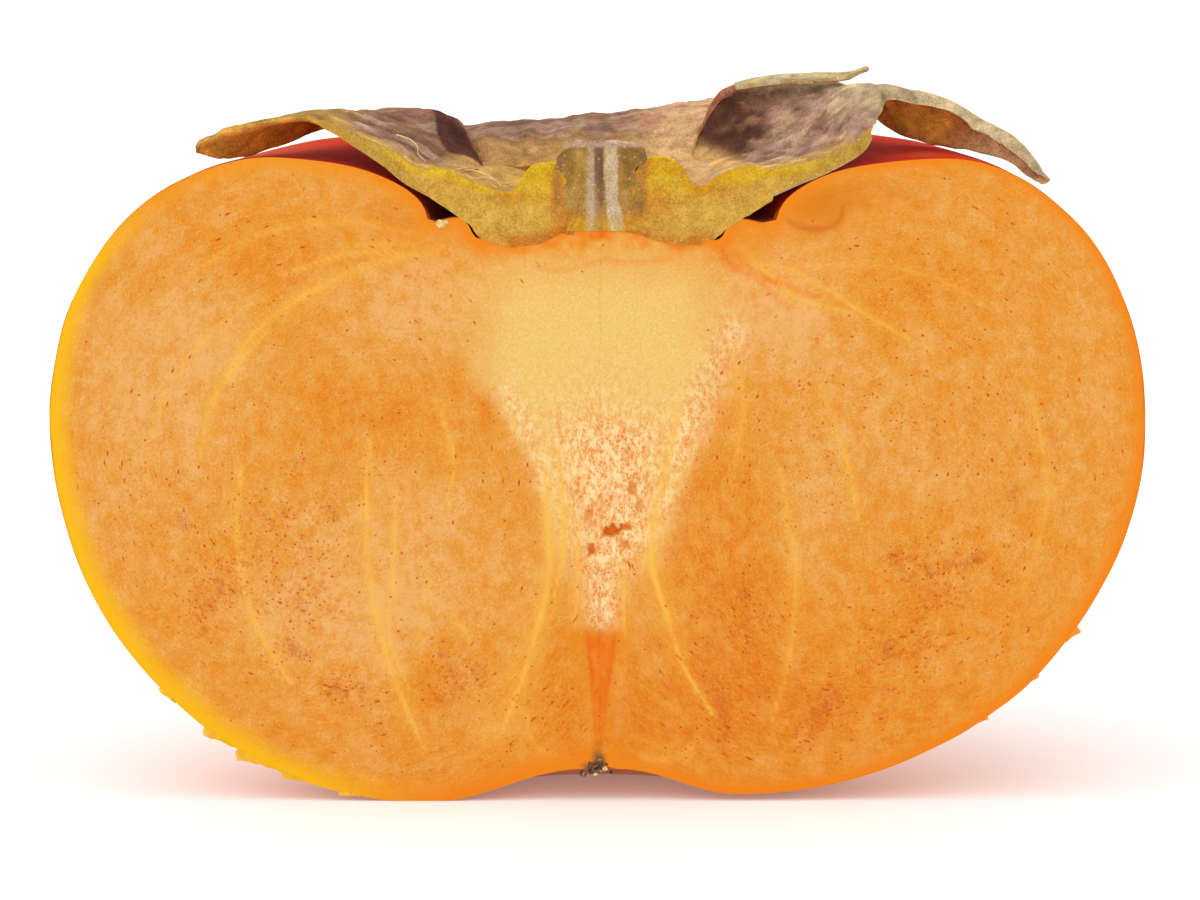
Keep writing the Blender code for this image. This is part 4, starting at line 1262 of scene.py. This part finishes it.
back_tint = tinted(
    BROWN,
    (MAUVE, 0.8 * rise(mottled, -0.3, 0.3)),
    (PEACH, 0.85 * rise(v, 0.5, 0.75)),
    (PINK, 0.75 * rise(v, 0.35, 0.75) * rise(mottled + 0.5 * ribs, -0.1, 0.4) * rise(u, 0.12, 0.3)),
    (TAN, 0.6 * rise(-u, -0.26, -0.06)),
    (PEACH, 0.6 * rise(v, 0.5, 0.8) * rise(-u, -0.3, -0.1)),
    # Lighter on the rib crests. The grooves between the ribs are darkened as painted shade.
    (KHAKI, 0.4 * rise(ribs, 0.3, 0.9)),
    (DARK, 0.35 * rise(-ribs, 0.4, 0.95)),
    (RUST, 0.8 * (data["side"] < 0)),
)
data["ridge"] = np.clip(0.35 * data["ridge"] + 0.33 + 0.3 * ribs, 0, 1)
leaf_piece("lobe_back", (points, faces, slots, data), back_tint, ["sepal_back"])

# %% [markdown]
# ## Stalk
# The short woody stalk was cut lengthwise with the fruit. Its face shows olive bark at the sides and two
# pale strands of pith with a purple-brown strip between, and its broken top is rough. It is a half-turned
# solid as well, fluted at the back, with the strips painted by their distance from the middle.

# %% Section of the stalk
STALK_RIGHT = [
    (3.05, 41.6), (3.06, 42.5), (3.0, 43.8), (2.8, 44.4), (2.5, 44.9), (2.5, 45.4), (3.3, 46.0), (3.2, 46.7)
]
STALK_LEFT = [
    (2.35, 41.6), (2.35, 42.5), (2.8, 43.8), (2.35, 44.5), (2.6, 45.0), (3.1, 45.5), (3.1, 46.1), (2.5, 46.8)
]
STALK_FOOT = 41.0
STALK_TOP = 47.25
STALK_FLUTES = 7


def stalk_section(angle):
    share = (1 + cos(angle)) / 2
    reach_share = np.linspace(0, 1, 61)[:, None]
    height_share = np.linspace(0, 1, 91)[None, :]
    height = STALK_FOOT + (STALK_TOP - STALK_FOOT - 0.5 * reach_share**6) * height_share
    right = np.interp(height, [z for _, z in STALK_RIGHT], [r for r, _ in STALK_RIGHT])
    left = np.interp(height, [z for _, z in STALK_LEFT], [r for r, _ in STALK_LEFT])
    reach = share * right + (1 - share) * left
    reach = reach * (1 + 0.05 * sin(STALK_FLUTES * angle) * np.sin(angle))
    return np.stack(
        [reach * reach_share * cos(angle), reach * reach_share * sin(angle) + 2 * CUT_LIFT, height], axis=-1
    )


stalk_points, stalk_faces = half_turned(stalk_section, 60)
stalk_cut = stalk_points[:, 1] < 2 * CUT_LIFT + 0.001
top_share = rise(stalk_points[:, 2], 46.0, 46.9)
crown_noise = 0.3 * layered_noise(stalk_points, 1.3, 601) + 0.08 * layered_noise(stalk_points, 5, 602)
stalk_points[:, 2] += top_share * crown_noise
stalk_points[:, 0] += 0.14 * layered_noise(stalk_points, 1.3, 603)
saw_grain = 0.05 * layered_noise(stalk_points * np.array([3.0, 1, 0.6]), 1.0, 604)
stalk_points[:, 1] += np.where(stalk_cut, saw_grain, 0)
SX, SZ = stalk_points[:, 0], stalk_points[:, 2]
sway = 0.16 * layered_noise(stalk_points, 0.6, 611) + 0.07 * layered_noise(stalk_points, 1.8, 613)
flare = np.interp(SZ, [41.5, 43.5, 47.0], [0.25, 0.05, 0.0])
left_pith = rise(-np.abs(SX + 0.62 + sway), -0.55, -0.2)
left_pith = left_pith * (0.8 + 0.3 * layered_noise(stalk_points, 1.5, 614))
right_pith = rise(-np.abs(SX - 0.82 - sway - flare), -0.58, -0.32)
middle_strip = rise(-np.abs(SX + 0.1), -0.42, -0.2) * (0.35 + 0.65 * rise(SZ, 43.0, 45.4))
stalk_mottled = layered_noise(stalk_points, 1.1, 612)
stalk_tint = tinted(
    (0.5, 0.26, 0.024),
    (TAN, 0.5 * rise(stalk_mottled, 0.0, 0.5)),
    (BROWN, 0.6 * rise(-stalk_mottled, 0.0, 0.5)),
    (ORANGE, 0.55 * rise(-SZ, -43.0, -41.6)),
    ((0.72, 0.52, 0.27), 0.95 * left_pith * stalk_cut),
    ((0.78, 0.58, 0.3), 1.0 * right_pith * stalk_cut),
    ((0.22, 0.1, 0.045), 0.9 * middle_strip * stalk_cut),
    ((0.2, 0.1, 0.02), 0.45 * rise(np.abs(SX + 0.1), 1.5, 1.9) * rise(SZ, 43.5, 46.0) * stalk_cut),
    (BROWN, 0.6 * rise(-SX, 2.3, 2.9) * rise(SZ, 44.6, 45.4)),
    ((0.66, 0.42, 0.26), 0.9 * rise(SZ, 46.75, 47.05)),
    (YELLOW, 0.4 * rise(-SZ, -42.4, -41.4)),
)
stalk_piece = make_piece(
    "stalk",
    stalk_points,
    stalk_faces,
    [felt, crumb],
    ["stalk_stub"],
    [1 if all(stalk_cut[vertex] for vertex in face) else 0 for face in stalk_faces],
)
paint(stalk_piece, "tint", stalk_tint)
paint(stalk_piece, "ridge", np.clip(0.5 + 0.8 * stalk_mottled, 0, 1))

# %% [markdown]
# ## Small bits
# What the knife leaves behind tells that the fruit is real. The dried blossom sits as dark crumbs in the
# notch at the bottom. A few torn slivers of skin stick out along the lower rim, and pale crumbs and thin
# hairs lie on the face and the calyx. Each is a small closed mesh made by the same tools as above.

# %% Lumps
def lump(centre, size, seed):
    """A small uneven body: a fine ball pushed in and out by noise, then scaled."""
    shape = bmesh.new()
    bmesh.ops.create_icosphere(shape, subdivisions=3, radius=1.0)
    points = np.array([vertex.co[:] for vertex in shape.verts])
    faces = [[vertex.index for vertex in face.verts] for face in shape.faces]
    shape.free()
    points *= (1 + 0.45 * layered_noise(points + 7.0 * seed, 1.3, 700 + seed, 3))[:, None]
    return points * np.array(size) + np.array(centre), faces


def join(parts):
    points, faces, total = [], [], 0
    for part_points, part_faces in parts:
        points.append(part_points)
        faces += [[vertex + total for vertex in face] for face in part_faces]
        total += len(part_points)
    return np.vstack(points), faces


# %% Blossom remnant
dry, on, surface = start_material("dry_blossom", 0.85, 0.15)
place = on.millimetres()
rough_noise = on.noise(place, 3.5, 4.0, 0.75)
dry_stops = [(0.38, (0.035, 0.016, 0.01)), (0.52, (0.16, 0.095, 0.05)), (0.66, (0.5, 0.36, 0.2))]
dry_shade = on.ramp(rough_noise, *dry_stops)
on.finish(surface, dry_shade, on.between(rough_noise, 0.75, 0.95), rough_noise, 0.2 * MM)

random = np.random.default_rng(31)
BLOSSOM_CRUMBS = 26
parts = []
for number in range(BLOSSOM_CRUMBS):
    height = random.uniform(1.95, 3.1)
    reach = 1.1 - 0.55 * (height - 1.95)
    centre = (random.uniform(-1.2 * reach, 0.8 * reach), random.uniform(0.02, 0.35), height)
    size = random.uniform(0.12, 0.27)
    parts.append(lump(centre, (size, 0.7 * size, size * random.uniform(0.7, 1.3)), number))
for number, (x, z) in enumerate([(-0.35, 3.4), (0.15, 3.5), (-0.05, 3.1)]):
    parts.append(lump((x, 0.12, z), (0.1, 0.09, 0.4), 40 + number))
points, faces = join(parts)
make_piece("blossom_remnant", points, faces, [dry], ["blossom_remnant"])

# %% Torn slivers of skin
SLIVERS = [
    (-26.3, -1, 2.5, 0.55, 1.0), (-23.2, -1, 3.2, 0.7, 1.0), (-20.9, -1, 2.1, 0.4, 1.0),
    (-17.2, -1, 1.6, 0.3, 1.0), (-30.4, -1, 1.6, 0.3, 1.0), (33.3, 1, 1.4, 0.45, 0.0),
    (30.4, 1, 1.3, 0.3, 0.0), (26.8, 1, 1.2, 0.25, 0.0),
]
torn, on, surface = start_material("torn_skin", 0.5, 0.2)
place = on.millimetres()
torn_clouds = on.group(cloudy, Vector=place, Scale=1.4, Grain=0.5)
yellowish = on.mix(torn_clouds, (0.76, 0.34, 0.006), (0.84, 0.5, 0.03))
reddish = on.mix(torn_clouds, (0.74, 0.16, 0.006), (0.84, 0.34, 0.03))
torn_shade = on.mix(on.painted("yellow"), reddish, yellowish)
torn_shade = on.lay(torn_shade, (0.85, 0.66, 0.3), on.painted("tip"))
on.finish(surface, torn_shade, on.between(torn_clouds, 0.4, 0.6), on.noise(place, 3.0, 3.0, 0.7), 0.1 * MM)


def sliver(x, way, length, height, seed):
    """A flap that leaves the lower rim gently to the right or left and ends in a torn point."""
    here, ahead = np.interp([x, x + 0.5 * way], face_x, face_bottom)
    z = here + 0.04
    along = np.array([0.5 * way, 0.0, ahead - here]) / np.hypot(0.5, ahead - here)
    outward = np.array([along[2] * way, 0.0, -along[0] * way])
    share = np.linspace(0, 1, 36)[:, None]
    lift = np.linspace(-0.35, 1, 10)[None, :]
    profile = height * share**1.6 * np.clip((1 - share) / 0.12, 0, 1) ** 0.6 + 0.04
    wave_points = np.stack([share * 6, 0 * share, 0 * share + seed], axis=-1)
    wave = 1 + 0.35 * layered_noise(wave_points, 1.0, 800 + seed)
    front = along * (share * length)[..., None] + outward * (profile * wave * lift)[..., None]
    front = front + np.array([x, -0.02, z]) + 0.05 * layered_noise(front, 2.0, 810 + seed)[..., None]
    back = front + np.array([0.0, 0.22, 0.0])
    loop = np.concatenate([front, back[:, ::-1]], axis=1)
    index = np.arange(loop.shape[0] * loop.shape[1]).reshape(loop.shape[:2])
    faces = [face[::-1] for face in grid_faces(index, closed=True)]
    faces += [index[0, ::-1].tolist(), index[-1].tolist()]
    faces = faces if way > 0 else [face[::-1] for face in faces]
    tips = np.repeat(rise(share, 0.7, 1.0), loop.shape[1], axis=1) * np.concatenate([lift[0], lift[0, ::-1]])
    return loop.reshape(-1, 3), faces, tips.ravel()


parts = []
tips = []
yellows = []
for number, (x, way, length, height, yellow) in enumerate(SLIVERS):
    points, faces, tip = sliver(x, way, length, height, number)
    parts.append((points, faces))
    tips.append(tip)
    yellows.append(np.full(len(points), yellow))
points, faces = join(parts)
points[:, 2] = np.maximum(points[:, 2], 0.05)
sliver_piece = make_piece("skin_slivers", points, faces, [torn], [])
paint(sliver_piece, "tip", 0.5 * np.clip(np.concatenate(tips), 0, 1))
paint(sliver_piece, "yellow", np.concatenate(yellows))

# %% Crumbs
pale_crumb, on, surface = start_material("pale_crumb", 0.7, 0.2)
place = on.millimetres()
crumb_noise = on.noise(place, 3.0, 3.0, 0.7)
crumb_shade = on.mix(on.step(crumb_noise, 0.35, 0.65), (0.62, 0.44, 0.16), (0.84, 0.68, 0.38))
on.finish(surface, crumb_shade, on.between(crumb_noise, 0.6, 0.8), crumb_noise, 0.1 * MM)
CRUMBS = [
    ((-11.25, 0.05, 41.45), (0.36, 0.14, 0.3)), ((-10.9, 0.05, 41.62), (0.2, 0.12, 0.16)),
    ((20.0, 0.9, 45.6), (0.62, 0.3, 0.13)), ((0.35, 0.0, 2.35), (0.2, 0.12, 0.16)),
    ((-0.3, 0.0, 1.95), (0.15, 0.1, 0.12)),
]
points, faces = join([lump(centre, size, 60 + number) for number, (centre, size) in enumerate(CRUMBS)])
make_piece("crumbs", points, faces, [pale_crumb], [])

# %% Hairs
HAIRS = [
    [(-14.4, 1.0, 47.75), (-13.4, 0.8, 47.4), (-12.9, 0.6, 46.9), (-12.85, 0.5, 46.4), (-12.3, 0.3, 45.9)],
    [(-10.0, 0.3, 45.1), (-9.2, 0.1, 45.3), (-8.3, 0.0, 45.1), (-7.5, 0.0, 44.7), (-7.0, 0.1, 44.2)],
    [(-9.6, 0.3, 45.0), (-8.9, 0.2, 44.7), (-8.0, 0.1, 44.8), (-7.3, 0.1, 44.5)],
    [(12.4, 0.6, 46.0), (12.9, 0.5, 46.6), (13.7, 0.7, 46.8), (14.3, 0.9, 47.4)],
]
HAIR_RADIUS = 0.035


def hair(knots):
    line = smooth_curve(knots, 40)
    turns = np.linspace(0, 2 * pi, 6, endpoint=False)
    thin = HAIR_RADIUS * np.linspace(1.0, 0.5, 40)[:, None, None]
    flat = 0 * turns
    ring = np.stack([np.cos(turns), np.sin(turns), flat], axis=1)
    ring = ring + np.stack([flat, flat, np.cos(turns)], axis=1)
    loops = line[:, None, :] + thin * ring[None]
    index = np.arange(40 * 6).reshape(40, 6)
    faces = grid_faces(index, closed=True)
    return loops.reshape(-1, 3), faces + [index[0].tolist(), index[-1, ::-1].tolist()]


points, faces = join([hair(knots) for knots in HAIRS])
make_piece("calyx_hairs", points, faces, [pale_crumb], [])
